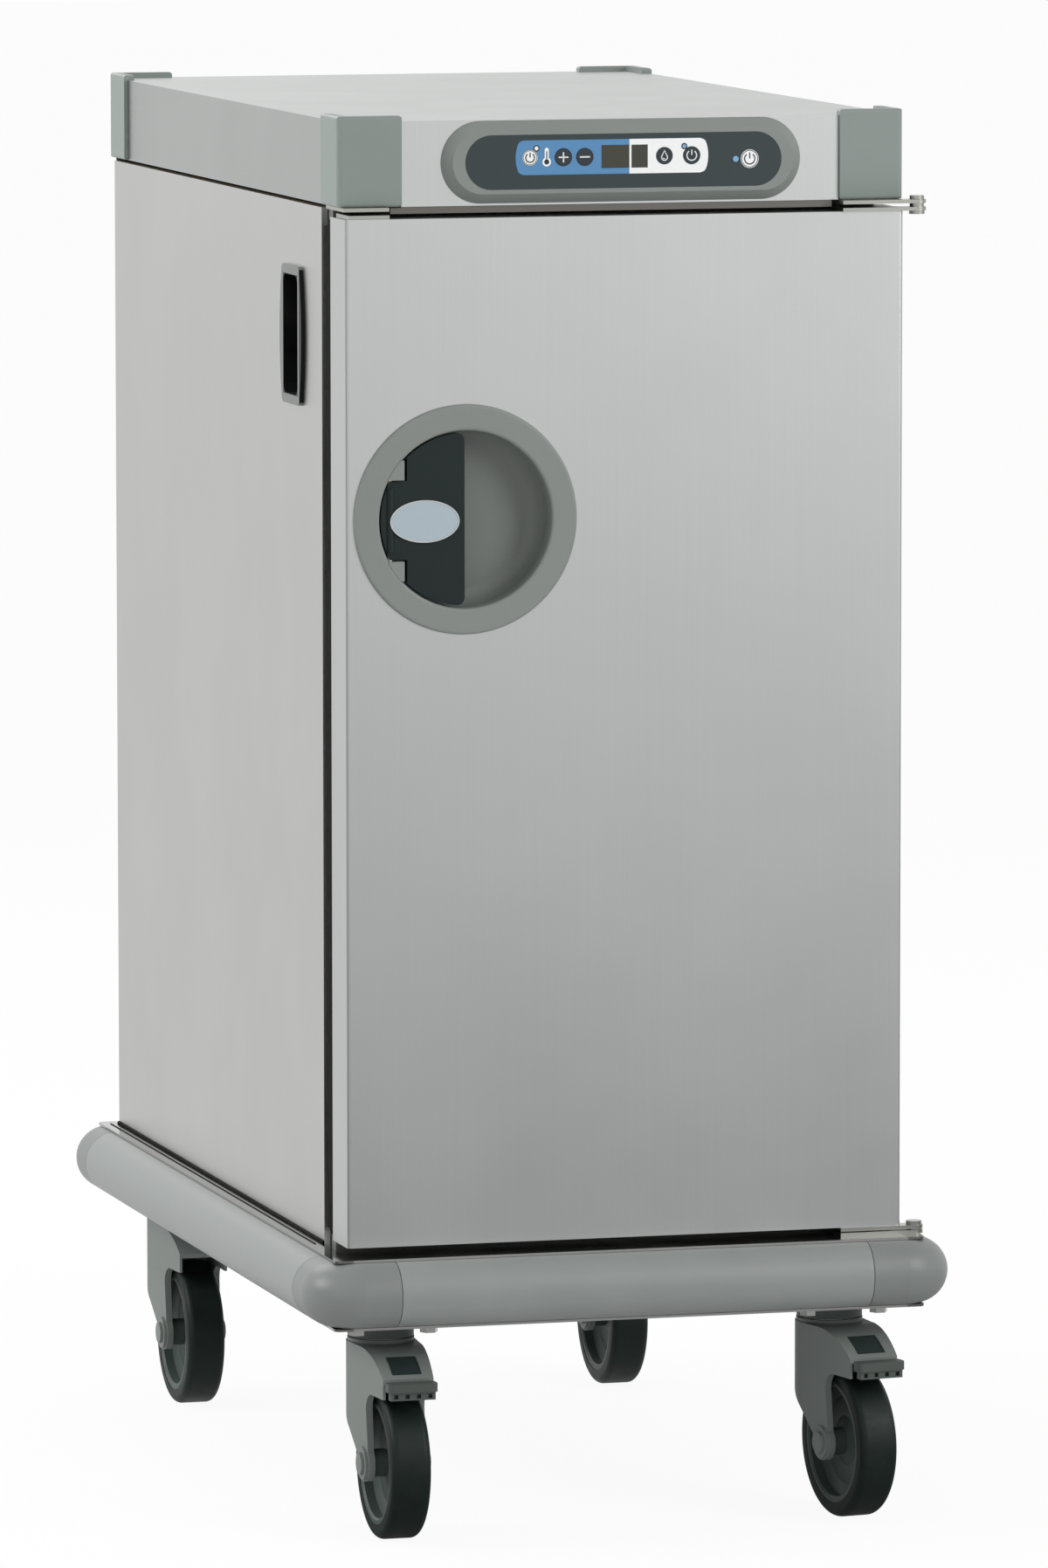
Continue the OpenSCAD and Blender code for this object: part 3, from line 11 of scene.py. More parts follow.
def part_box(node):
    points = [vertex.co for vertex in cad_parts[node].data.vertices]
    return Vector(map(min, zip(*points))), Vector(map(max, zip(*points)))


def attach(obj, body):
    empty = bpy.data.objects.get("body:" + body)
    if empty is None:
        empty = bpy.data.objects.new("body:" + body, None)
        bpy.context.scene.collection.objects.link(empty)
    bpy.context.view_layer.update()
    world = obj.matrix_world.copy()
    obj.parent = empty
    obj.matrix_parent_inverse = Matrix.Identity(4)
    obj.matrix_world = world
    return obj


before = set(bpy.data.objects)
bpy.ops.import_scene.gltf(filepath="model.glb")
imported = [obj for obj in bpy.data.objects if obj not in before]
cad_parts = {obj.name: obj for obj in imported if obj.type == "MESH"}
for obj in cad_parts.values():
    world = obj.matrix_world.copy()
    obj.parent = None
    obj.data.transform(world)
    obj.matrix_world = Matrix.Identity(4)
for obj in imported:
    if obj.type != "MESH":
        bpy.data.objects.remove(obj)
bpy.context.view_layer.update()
MM = 0.001
NOISE_LOW = 0.3
NOISE_HIGH = 0.7


# Colours and shader nodes


def linear(red, green, blue):
    """Scene-linear colour of an sRGB colour given in 0 to 255."""
    def one(value):
        value /= 255
        return value / 12.92 if value <= 0.04045 else ((value + 0.055) / 1.055) ** 2.4
    return (one(red), one(green), one(blue), 1.0)


class Graph:
    """Adds nodes to a node tree and links them."""

    def __init__(self, tree):
        self.tree = tree

    def link(self, start, end):
        self.tree.links.new(start, end)

    def math(self, operation, *values):
        node = self.tree.nodes.new("ShaderNodeMath")
        node.operation = operation
        for value, socket in zip(values, node.inputs):
            if isinstance(value, float):
                socket.default_value = value
            else:
                self.link(value, socket)
        return node.outputs["Value"]

    def ranged(self, value, low, high, start=NOISE_LOW, end=NOISE_HIGH):
        """Maps start to end onto low to high; the defaults are where most of a noise lies."""
        node = self.tree.nodes.new("ShaderNodeMapRange")
        node.inputs["From Min"].default_value = start
        node.inputs["From Max"].default_value = end
        node.inputs["To Min"].default_value = low
        node.inputs["To Max"].default_value = high
        self.link(value, node.inputs["Value"])
        return node.outputs["Result"]

    def axes(self, place):
        """One output for each axis of a vector."""
        split = self.tree.nodes.new("ShaderNodeSeparateXYZ")
        self.link(place, split.inputs["Vector"])
        return split.outputs


class Finish(Graph):
    """One procedural material: a principled shader fed by object-space noise."""

    def __init__(self, name, colour, roughness, metallic=0.0):
        self.material = bpy.data.materials.new(name)
        self.material.use_nodes = True
        super().__init__(self.material.node_tree)
        self.shader = self.tree.nodes["Principled BSDF"]
        self.colour = colour
        self.roughness = roughness
        self.shader.inputs["Base Color"].default_value = colour
        self.shader.inputs["Roughness"].default_value = roughness
        self.shader.inputs["Metallic"].default_value = metallic
        self.place = self.tree.nodes.new("ShaderNodeTexCoord").outputs["Object"]

    def noise(self, scale, stretch=(1, 1, 1), detail=4.0, rough=0.6):
        """Noise value over the piece; a stretch below 1 draws the grain out along that axis."""
        mapping = self.tree.nodes.new("ShaderNodeMapping")
        mapping.inputs["Scale"].default_value = stretch
        self.link(self.place, mapping.inputs["Vector"])
        texture = self.tree.nodes.new("ShaderNodeTexNoise")
        texture.inputs["Scale"].default_value = scale
        texture.inputs["Detail"].default_value = detail
        texture.inputs["Roughness"].default_value = rough
        self.link(mapping.outputs["Vector"], texture.inputs["Vector"])
        return texture.outputs["Fac"]

    def tint(self, value, dark, light):
        """Varies the colour from dark to light times the base with a noise value."""
        ramp = self.tree.nodes.new("ShaderNodeValToRGB")
        ramp.color_ramp.elements[0].position = NOISE_LOW
        ramp.color_ramp.elements[1].position = NOISE_HIGH
        ramp.color_ramp.elements[0].color = [c * dark for c in self.colour[:3]] + [1]
        ramp.color_ramp.elements[1].color = [min(1, c * light) for c in self.colour[:3]] + [1]
        self.link(value, ramp.inputs["Fac"])
        self.link(ramp.outputs["Color"], self.shader.inputs["Base Color"])
        return self

    def dim(self, level):
        """Scales the linked base colour by a value."""
        base = self.shader.inputs["Base Color"]
        scaled = self.tree.nodes.new("ShaderNodeVectorMath")
        scaled.operation = "SCALE"
        self.link(base.links[0].from_socket, scaled.inputs["Vector"])
        self.link(level, scaled.inputs["Scale"])
        self.link(scaled.outputs["Vector"], base)
        return self

    def gloss(self, value, spread):
        """Varies the roughness by the spread to either side."""
        rough = self.ranged(value, self.roughness - spread, self.roughness + spread)
        self.link(rough, self.shader.inputs["Roughness"])
        return self

    def bump(self, value, strength, distance):
        node = self.tree.nodes.new("ShaderNodeBump")
        node.inputs["Strength"].default_value = strength
        node.inputs["Distance"].default_value = distance
        self.link(value, node.inputs["Height"])
        self.link(node.outputs["Normal"], self.shader.inputs["Normal"])
        return self


def brushed(name, colour, roughness, along, depth=0.03, painted_shade_of=None):
    """Brushed sheet steel whose grain runs along one axis; the last argument may dim parts of it as painted
    shade.
    """
    stretch = [1.0, 1.0, 1.0]
    stretch["xyz".index(along)] = 0.006
    finish = Finish(name, colour, roughness, 1.0)
    fine = finish.noise(900, stretch, 3.0)
    broad = finish.noise(7, (1, 1, 1), 2.0)
    finish.tint(fine, 0.988, 1.012)
    if painted_shade_of:
        finish.dim(painted_shade_of(finish))
    finish.gloss(broad, 0.03)
    finish.bump(fine, depth, 0.0001)
    return finish.material


def moulded(name, colour, roughness, grain=1400, depth=0.15, specular=0.5, metallic=0.0):
    """Moulded plastic, or with metallic 1 plated steel, with a fine grain."""
    finish = Finish(name, colour, roughness, metallic)
    finish.shader.inputs["Specular IOR Level"].default_value = specular
    cloud = finish.noise(9, (1, 1, 1), 3.0)
    fine = finish.noise(grain, (1, 1, 1), 2.0)
    finish.tint(cloud, 0.96, 1.04)
    finish.gloss(cloud, 0.05)
    finish.bump(fine, depth, 0.0001)
    return finish.material


def two_tone_and_shade(name, first, second, roughness, share_of, specular=0.4):
    """Moulded plastic of two colours, either of which may carry painted shade; share_of gives the second
    colour's share at each place.
    """
    finish = Finish(name, first, roughness)
    finish.shader.inputs["Specular IOR Level"].default_value = specular
    cloud = finish.noise(9, (1, 1, 1), 3.0)
    share = finish.math("ADD", share_of(finish), finish.ranged(cloud, -0.06, 0.06))
    ramp = finish.tree.nodes.new("ShaderNodeValToRGB")
    ramp.color_ramp.elements[0].color = first
    ramp.color_ramp.elements[1].color = second
    finish.link(share, ramp.inputs["Fac"])
    finish.link(ramp.outputs["Color"], finish.shader.inputs["Base Color"])
    finish.gloss(cloud, 0.05)
    finish.bump(finish.noise(1400, (1, 1, 1), 2.0), 0.15, 0.0001)
    return finish.material


# Where the two-tone finishes and the painted shade in them change, in metres from the bowl's front and from
# the grip's middle
BOWL_FROM = 0.009
BOWL_TO = 0.038
GRIP_PAD_FROM = 0.0495
GRIP_REAR_FROM = 0.0242
GRIP_LINE_AT = 0.0262
GRIP_LINE_HALF = 0.0022
# Level and ease of the painted shade on the deck beside the side panels
LEDGE_LEVEL = 0.5
LEDGE_EASE = 0.0005


def bowl_painted_shade(finish):
    """Painted shade: rises from just behind the handle's ring to the floor of its bowl, darkening the bowl
    towards its floor.
    """
    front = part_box("handle_bowl")[0][1]
    return finish.ranged(finish.axes(finish.place)["Y"], 0.0, 1.0, front + BOWL_FROM, front + BOWL_TO)


def grip_grey_and_painted_shade(finish):
    """One on the grip's end pads, its rear edge and a line along its front edge, nought elsewhere; the black
    beyond that line on the front edge is painted shade.
    """
    low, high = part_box("side_grips")
    axes = finish.axes(finish.place)
    across = finish.math("SUBTRACT", axes["Y"], (low[1] + high[1]) / 2)
    along = finish.math("ABSOLUTE", finish.math("SUBTRACT", axes["Z"], (low[2] + high[2]) / 2))
    pads = finish.math("GREATER_THAN", along, GRIP_PAD_FROM)
    rear = finish.math("GREATER_THAN", across, GRIP_REAR_FROM)
    line = finish.math("COMPARE", across, -GRIP_LINE_AT, GRIP_LINE_HALF)
    behind_line = finish.math("GREATER_THAN", across, -GRIP_LINE_AT - GRIP_LINE_HALF)
    shown = finish.math("MULTIPLY", pads, behind_line)
    return finish.math("MAXIMUM", shown, finish.math("MAXIMUM", rear, line))


def rubber(name, colour, roughness, specular=0.3):
    """Rubber or wool with faint scuffs."""
    finish = Finish(name, colour, roughness)
    finish.shader.inputs["Specular IOR Level"].default_value = specular
    scuff = finish.noise(60, (1, 1, 1), 6.0, 0.7)
    finish.tint(scuff, 0.85, 1.2)
    finish.gloss(scuff, 0.08)
    finish.bump(scuff, 0.1, 0.0002)
    return finish.material


def printed(name, colour, roughness=0.38, specular=0.35):
    """Screen-printed film with a faint grain."""
    finish = Finish(name, colour, roughness)
    finish.shader.inputs["Specular IOR Level"].default_value = specular
    grain = finish.noise(2600, (1, 1, 1), 2.0)
    finish.tint(grain, 0.97, 1.03)
    finish.bump(grain, 0.05, 0.00005)
    return finish.material


def ledge_painted_shade(finish):
    """Painted shade: dims the deck beside the side panels."""
    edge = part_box("right_side_panel")[1][0]
    aside = finish.math("ABSOLUTE", finish.axes(finish.place)["X"])
    return finish.ranged(aside, 1.0, LEDGE_LEVEL, edge, edge + LEDGE_EASE)


steel_door = brushed("steel_door", linear(192, 194, 193), 0.33, "z")
steel_side = brushed("steel_side", linear(192, 193, 191), 0.34, "z")
steel_cap = brushed("steel_cap", linear(168, 171, 169), 0.33, "y")
steel_bright = brushed("steel_bright", linear(214, 215, 213), 0.26, "x")
# Dark copy of the brushed steel for the cap's base: painted shade under the cap and along the rail over the
# door.
steel_painted_shade = brushed("steel_painted_shade", linear(104, 102, 98), 0.38, "x")
# The deck beside the side panels is dimmed as painted shade.
steel_deck = brushed("steel_deck", linear(205, 206, 204), 0.15, "y", painted_shade_of=ledge_painted_shade)
steel_plated = moulded("steel_plated", linear(205, 206, 202), 0.30, 800, 0.1, metallic=1.0)
steel_hinge = moulded("steel_hinge", linear(165, 165, 160), 0.26, 800, 0.1, metallic=1.0)
steel_element = moulded("steel_element", linear(120, 112, 104), 0.42, 600, metallic=1.0)
grey_block = moulded("grey_block", linear(130, 139, 135), 0.46, specular=0.4)
grey_ring = moulded("grey_ring", linear(127, 132, 129), 0.47, specular=0.4)
# The bowl's second, darker grey is painted shade that deepens towards the bowl's floor.
grey_bowl = two_tone_and_shade("grey_bowl", linear(127, 132, 129), linear(112, 117, 113), 0.47, bowl_painted_shade)
grey_frame = moulded("grey_frame", linear(110, 112, 108), 0.5)
grey_bumper = moulded("grey_bumper", linear(136, 140, 138), 0.40, 1000, 0.06, specular=0.35)
# Darker copy of the bumper's grey for its corners: painted shade from darker reflections.
grey_corner_painted_shade = moulded("grey_corner_painted_shade", linear(122, 126, 124), 0.40, 1000, 0.06, specular=0.35)
grey_fork = moulded("grey_fork", linear(117, 123, 120), 0.48, specular=0.3)
grey_pedal = moulded("grey_pedal", linear(73, 79, 76), 0.48, specular=0.3)
grey_race = moulded("grey_race", linear(84, 92, 89), 0.5, specular=0.3)
grey_hub = moulded("grey_hub", linear(66, 76, 72), 0.46, specular=0.3)
black_plastic = moulded("black_plastic", linear(20, 33, 32), 0.40, 1500, 0.12, specular=0.25)
# Black inside the grip; on the flange's front edge beyond the grey line the black is painted shade.
grip_edge = two_tone_and_shade("grip_edge", linear(4, 5, 5), linear(118, 121, 119), 0.45, grip_grey_and_painted_shade, 0.2)
plate_dark = moulded("plate_dark", linear(40, 51, 49), 0.35, 1500, 0.12, specular=0.3)
tyre_rubber = rubber("tyre_rubber", linear(20, 30, 27), 0.5, 0.2)
gasket_rubber = rubber("gasket_rubber", linear(13, 14, 11), 0.7, 0.06)
slate_film = printed("slate_film", linear(45, 56, 57))
display_film = printed("display_film", linear(58, 60, 51), 0.22)
dark_film = printed("dark_film", linear(38, 46, 52))
white_film = printed("white_film", linear(236, 238, 237))
badge_film = printed("badge_film", linear(166, 180, 188))
blue_film = printed("blue_film", linear(83, 134, 178))
led_film = printed("led_film", linear(120, 165, 205), 0.2)
pale_film = printed("pale_film", linear(214, 218, 217))
board_green = moulded("board_green", linear(28, 88, 52), 0.45, 500, 0.2)
wool_fibre = rubber("wool_fibre", linear(112, 104, 86), 0.95)

NODE_FINISH = {
    steel_door: ["door_skin", "fascia_panel"],
    steel_side: ["left_side_panel", "right_side_panel", "rear_panel"],
    steel_cap: ["top_cover"],
    steel_painted_shade: ["cap_base"],
    steel_deck: ["chassis"],
    steel_bright: ["inner_liner", "air_baffle", "left_rack", "right_rack", "door_liner"],
    steel_plated: [
        "paddle_pin", "striker_plate", "latch_hook",
        "caster_plates", "caster_bolts", "fan_impeller", "temperature_probe",
    ],
    steel_hinge: ["hinge_brackets", "door_hinge_straps", "hinge_pins"],
    steel_element: ["heating_element"],
    grey_block: ["top_corner_blocks"],
    grey_ring: ["control_bezel"],
    grey_bowl: ["handle_bowl"],
    grey_frame: ["front_frame"],
    grey_bumper: ["bumper_rails"],
    grey_corner_painted_shade: ["bumper_corners"],
    grey_fork: ["fork_front_left", "fork_front_right", "fork_rear_left", "fork_rear_right"],
    grey_pedal: ["brake_pedal_left", "brake_pedal_right"],
    grey_hub: ["hub_front_left", "hub_front_right", "hub_rear_left", "hub_rear_right"],
    tyre_rubber: ["tyre_front_left", "tyre_front_right", "tyre_rear_left", "tyre_rear_right"],
    grip_edge: ["side_grips"],
    black_plastic: ["latch_paddle", "cable_gland", "fan_motor"],
    gasket_rubber: ["door_gasket"],
    slate_film: ["control_overlay"],
    display_film: ["display_windows"],
    dark_film: ["plus_key", "minus_key", "humidity_key", "timer_key"],
    white_film: ["heat_key", "mains_key"],
    board_green: ["controller_board"],
    wool_fibre: ["insulation", "door_insulation"],
}

for material, names in NODE_FINISH.items():
    for name in names:
        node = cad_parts[name]
        if not node.material_slots:
            node.data.materials.append(material)
        for slot in node.material_slots:
            slot.material = material


# Thin printed and fitted pieces: outlines in millimetres, x to the right and z up, seen from the front


def add_piece(name, body, material, verts, faces, smooth=False):
    """New mesh piece that rides a body and takes the finish it is given."""
    mesh = bpy.data.meshes.new(name)
    mesh.from_pydata(verts, [], faces)
    mesh.validate()
    shell = bmesh.new()
    shell.from_mesh(mesh)
    bmesh.ops.recalc_face_normals(shell, faces=shell.faces)
    shell.to_mesh(mesh)
    shell.free()
    mesh.materials.append(material)
    if smooth:
        mesh.shade_smooth()
        mesh.set_sharp_from_angle(angle=math.radians(40))
    piece = bpy.data.objects.new(name, mesh)
    bpy.context.scene.collection.objects.link(piece)
    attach(piece, body)


def corners(node):
    """Lowest and highest corner of a node at rest, in millimetres."""
    low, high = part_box(node)
    return [c / MM for c in low], [c / MM for c in high]


def middle(node):
    low, high = corners(node)
    return [(a + b) / 2 for a, b in zip(low, high)]


def arc(x, z, radius, start=0.0, end=360.0, steps=48):
    """Points along an arc; a full turn leaves out the doubled last point."""
    full = abs(end - start) >= 360
    count = steps if full else steps + 1
    angles = [math.radians(start + (end - start) * i / steps) for i in range(count)]
    return [(x + radius * math.cos(a), z + radius * math.sin(a)) for a in angles]


def oval(x, z, width, height, steps=72):
    return [(x + width / 2 * u, z + height / 2 * v) for u, v in arc(0, 0, 1, steps=steps)]


def bar(x, z, width, height):
    """Stroke with round ends along its longer side."""
    r = min(width, height) / 2
    if width > height:
        reach = width / 2 - r
        return arc(x + reach, z, r, -90, 90, 8) + arc(x - reach, z, r, 90, 270, 8)
    reach = height / 2 - r
    return arc(x, z + reach, r, 0, 180, 8) + arc(x, z - reach, r, 180, 360, 8)


def open_ring(x, z, radius, stroke, gap):
    """Ring stroke with a gap at the top, in degrees."""
    outer = arc(x, z, radius + stroke / 2, 90 + gap / 2, 450 - gap / 2, 40)
    inner = arc(x, z, radius - stroke / 2, 90 + gap / 2, 450 - gap / 2, 40)
    return outer + inner[::-1]


def plate(name, body, material, front, thick, loops):
    """Flat piece facing the front: the first loop is its outline, the others are holes."""
    flat = [[Vector((x, z, 0)) for x, z in loop] for loop in loops]
    points = [point for loop in flat for point in loop]
    count = len(points)
    verts = [(point.x * MM, front * MM, point.y * MM) for point in points]
    verts += [(point.x * MM, (front + thick) * MM, point.y * MM) for point in points]
    faces = []
    for a, b, c in tessellate_polygon(flat):
        first, second, third = points[a], points[b], points[c]
        if (second - first).cross(third - first).z < 0:
            b, c = c, b
        faces.append((a, b, c))
        faces.append((a + count, c + count, b + count))
    start = 0
    for loop in flat:
        size = len(loop)
        for i in range(size):
            a = start + i
            b = start + (i + 1) % size
            faces.append((a, a + count, b + count, b))
        start += size
    add_piece(name, body, material, verts, faces)


OVERLAY_FACE = corners("control_overlay")[0][1]
KEY_FACE = corners("heat_key")[0][1]
INK = 0.08
FILM = 0.1
KEY_SIZES = {"heat": 12.6, "plus": 14.0, "minus": 14.0, "humidity": 13.5, "timer": 14.0, "mains": 15.0}
KEYS = {}
for key, size in KEY_SIZES.items():
    x, y, z = middle(key + "_key")
    KEYS[key] = (x, z, size)
ZONE_Z = KEYS["heat"][1]
ZONE_H = 28.0
ZONE_LEFT = -91.0
ZONE_SPLIT = 5.5
ZONE_RIGHT = 71.0
ZONE_BULGE = 3.2
ZONE_CORNER = 3.5
DIVIDER_LEFT = ZONE_SPLIT - 0.9
DIVIDER_RIGHT = ZONE_SPLIT + 0.5
DISPLAY_LEFT = -19.0
DISPLAY_RIGHT = 20.0
DISPLAY_H = 18.7
KEY_GAP = 0.35
THERMOMETER_X = -65.0
LAMP_UP = 7.5
LAMP_RING = 1.0
BADGE_T = 1.8
BADGE_W = 56.4
BADGE_H = 32.8
BADGE_RIM = 0.8
BADGE_LAP = 0.1
BADGE_PROUD = 0.2
BADGE_RIM_PROUD = 0.3
BADGE_LEFT = 33.7
BADGE_DOWN = 1.0


def zone_end(x, toward):
    """Bulged end of the printed zone from one long edge to the other, with rounded corners."""
    half = ZONE_H / 2
    points = []
    for i in range(25):
        v = -half + ZONE_H * i / 24
        ease = max(0.0, abs(v) - (half - ZONE_CORNER)) / ZONE_CORNER
        rounding = ZONE_CORNER * (1 - math.sqrt(max(0.0, 1 - ease ** 2)))
        inset = ZONE_BULGE * (v / half) ** 2 + rounding
        points.append((x - toward * inset, ZONE_Z + v))
    return points


def box_loop(x0, x1, z0, z1):
    return [(x0, z0), (x1, z0), (x1, z1), (x0, z1)]


def overlay_print(name, material, layer, loops, thick=FILM):
    """Film on the overlay; each layer stands one ink thickness prouder."""
    plate(name, "cabinet", material, OVERLAY_FACE - layer * INK, thick, loops)


def key_print(key, part, material, loops):
    """Film on the face of a key, which it goes in with."""
    plate("symbol_%s_%s" % (key, part), key + "_button", material, KEY_FACE - INK, FILM, loops)


def key_holes(names):
    return [arc(x, z, size / 2 + KEY_GAP) for x, z, size in (KEYS[name] for name in names)]


def control_zones():
    """Blue zone with the heat keys, white zone with the others, and the white line between them."""
    low = ZONE_Z - ZONE_H / 2
    high = ZONE_Z + ZONE_H / 2
    show_low = ZONE_Z - DISPLAY_H / 2
    show_high = ZONE_Z + DISPLAY_H / 2
    left = DIVIDER_LEFT
    right = DIVIDER_RIGHT
    blue = [(left, high), (left, low)] + zone_end(ZONE_LEFT, -1)
    white = [(right, low)] + zone_end(ZONE_RIGHT, 1) + [(right, high)]
    overlay_print("print_blue", blue_film, 1,
                  [blue, box_loop(DISPLAY_LEFT, left - 0.1, show_low, show_high)]
                  + key_holes(["heat", "plus", "minus"]))
    overlay_print("print_white", white_film, 1,
                  [white, box_loop(right + 0.1, DISPLAY_RIGHT, show_low, show_high)]
                  + key_holes(["humidity", "timer"]))
    overlay_print("print_divider", white_film, 2, [box_loop(left - 0.1, right + 0.2, low, high)])


def control_lamps():
    """Thermometer drawing and the three round lamps beside the keys."""
    x = THERMOMETER_X
    foot = ZONE_Z - 3.6
    overlay_print("print_thermometer", white_film, 2,
                  [arc(x, foot, 3.6, 118, 422, 32) + arc(x, foot + 9.8, 1.7, 0, 180, 12)])
    overlay_print("print_bulb", dark_film, 3, [arc(x, foot, 2.1)])
    overlay_print("print_column", dark_film, 3, [bar(x, foot + 4.7, 0.9, 8.0)])
    beside = ZONE_Z + LAMP_UP
    for key, x, z, radius, ring, core in (("heat", -73.6, beside, 2.6, dark_film, white_film),
                                          ("timer", 50.8, beside, 2.6, slate_film, led_film),
                                          ("mains", 94.3, KEYS["mains"][1], 3.4, slate_film, led_film)):
        overlay_print("lamp_ring_" + key, ring, 2, [arc(x, z, radius)])
        overlay_print("lamp_" + key, core, 3.5, [arc(x, z, radius - LAMP_RING)], 2 * FILM)


def key_symbols():
    """On and off signs, plus, minus and the water drop."""
    for key, ink, edge in (("heat", dark_film, dark_film), ("timer", pale_film, slate_film),
                           ("mains", dark_film, dark_film)):
        x, z, size = KEYS[key]
        radius = 0.29 * size
        key_print(key, "ring", ink, [open_ring(x, z, radius, 1.0, 70)])
        key_print(key, "stroke", ink, [bar(x, z + 0.6 * radius, 1.0, 1.15 * radius)])
        key_print(key, "edge", edge, [arc(x, z, 0.47 * size), arc(x, z, 0.43 * size)])
    x, z, size = KEYS["plus"]
    key_print("plus", "across", pale_film, [bar(x, z, 8.4, 1.2)])
    key_print("plus", "upper", pale_film, [bar(x, z + 2.45, 1.2, 3.6)])
    key_print("plus", "lower", pale_film, [bar(x, z - 2.45, 1.2, 3.6)])
    x, z, size = KEYS["minus"]
    key_print("minus", "across", pale_film, [bar(x, z, 8.8, 1.2)])
    x, z, size = KEYS["humidity"]

    def drop(grow):
        tip = z + 4.6 + 1.4 * grow
        return arc(x, z - 1.3, 2.9 + grow, 148, 392, 32) + [(x + 0.12, tip), (x - 0.12, tip)]

    key_print("humidity", "drop", pale_film, [drop(0.0), drop(-0.9)])
    key_print("humidity", "glint", pale_film,
              [arc(x, z - 1.3, 1.5, 200, 290, 10) + arc(x, z - 1.3, 0.8, 290, 200, 10)])


def paddle_badge():
    """Bare oval plate with a raised rim on the paddle's face."""
    ring_x, _, ring_z = middle("handle_bowl")
    x = ring_x - BADGE_LEFT
    z = ring_z - BADGE_DOWN
    face = corners("latch_paddle")[0][1] - BADGE_PROUD

    def grown(by):
        return oval(x, z, BADGE_W + 2 * by, BADGE_H + 2 * by)

    plate("badge_plate", "paddle", badge_film, face, BADGE_T, [grown(0.0)])
    plate("badge_rim", "paddle", steel_plated, face - BADGE_RIM_PROUD, BADGE_T + BADGE_RIM_PROUD,
          [grown(BADGE_RIM), grown(-BADGE_LAP)])


# Fitted pieces of the casters, in millimetres from a swivel axis and the floor

HEAD_R = 28.5
PLATE_T = 4.0
RIGHT_SWIVEL = math.radians(7.5)
BOW_Y = -32.2
BOW_Z = 67.88
BOW_R = 90.0
PLATE_HALF = 12.2
PLATE_FROM = 20.0
PLATE_TO = 35.1
PLATE_RIM = 1.1
FOOT_UP = -0.3
FIELD_UP = 0.25
RIM_UP = 0.6
RACE_IN = 2.8
RACE_OUT = 1.3
RACE_EASE = 0.5
RACE_ABOVE_FORK = 0.7
RACE_BELOW_PLATE = 0.3


def swivel_axis(row):
    """Place of the left swivel axis of a row of casters; the right one is its mirror image."""
    low, high = corners("fork_%s_left" % row)
    return (low[0] + high[0]) / 2, high[1] - HEAD_R


def welded(verts, faces):
    """Joins corners that share a place and leaves out the faces that lose their area."""
    index = {}
    places = []
    renamed = []
    for vert in verts:
        key = tuple(round(value * 1e7) for value in vert)
        if key not in index:
            index[key] = len(places)
            places.append(vert)
        renamed.append(index[key])
    kept = []
    for face in faces:
        loop = [renamed[corner] for corner in face]
        loop = [corner for i, corner in enumerate(loop) if corner != loop[i - 1]]
        if len(set(loop)) > 2:
            kept.append(tuple(loop))
    return places, kept


def crown_plate(side, x, y, turn):
    """Plain curved plate with a raised rim on the bowed crown of a front fork."""
    columns = (-PLATE_HALF, -PLATE_HALF, PLATE_RIM - PLATE_HALF, PLATE_RIM - PLATE_HALF,
               PLATE_HALF - PLATE_RIM, PLATE_HALF - PLATE_RIM, PLATE_HALF, PLATE_HALF)
    all_rim = [FOOT_UP] + [RIM_UP] * 6 + [FOOT_UP]
    framed = [FOOT_UP, RIM_UP, RIM_UP, FIELD_UP, FIELD_UP, RIM_UP, RIM_UP, FOOT_UP]
    ease = math.degrees(PLATE_RIM / BOW_R)
    inner = [PLATE_FROM + ease + (PLATE_TO - PLATE_FROM - 2 * ease) * i / 12 for i in range(13)]
    rows = [(PLATE_FROM, all_rim), (inner[0], all_rim)]
    rows += [(angle, framed) for angle in inner]
    rows += [(inner[-1], all_rim), (PLATE_TO, all_rim)]
    verts = []
    for angle, heights in rows:
        lean = math.radians(angle)
        for across, height in zip(columns, heights):
            ahead = BOW_Y - (BOW_R + height) * math.sin(lean)
            verts.append(((x + across * math.cos(turn) - ahead * math.sin(turn)) * MM,
                          (y + across * math.sin(turn) + ahead * math.cos(turn)) * MM,
                          (BOW_Z + (BOW_R + height) * math.cos(lean)) * MM))
    faces = []
    for row in range(len(rows) - 1):
        for column in range(8):
            a = 8 * row + column
            b = 8 * row + (column + 1) % 8
            faces.append((a, a + 8, b + 8, b))
    faces.append(tuple(range(8)))
    faces.append(tuple(range(8 * len(rows) - 8, 8 * len(rows)))[::-1])
    places, kept = welded(verts, faces)
    add_piece("crown_plate_" + side, "swivel_front_" + side, plate_dark, places, kept, True)


def race_cover(name, x, y, low, high):
    """Grey sleeve round a caster's ball race, between the plate and the fork."""
    inner = HEAD_R - RACE_IN
    outer = HEAD_R - RACE_OUT
    section = [(inner, low), (outer - RACE_EASE, low), (outer, low + RACE_EASE),
               (outer, high - RACE_EASE), (outer - RACE_EASE, high), (inner, high)]
    steps = 72
    verts = []
    for i in range(steps):
        turn = 2 * math.pi * i / steps
        verts += [((x + r * math.cos(turn)) * MM, (y + r * math.sin(turn)) * MM, z * MM) for r, z in section]
    count = len(section)
    faces = []
    for i in range(steps):
        for k in range(count):
            a = i * count + k
            b = i * count + (k + 1) % count
            shift = (i + 1) % steps * count - i * count
            faces.append((a, a + shift, b + shift, b))
    add_piece("race_cover_" + name, "cabinet", grey_race, verts, faces, True)


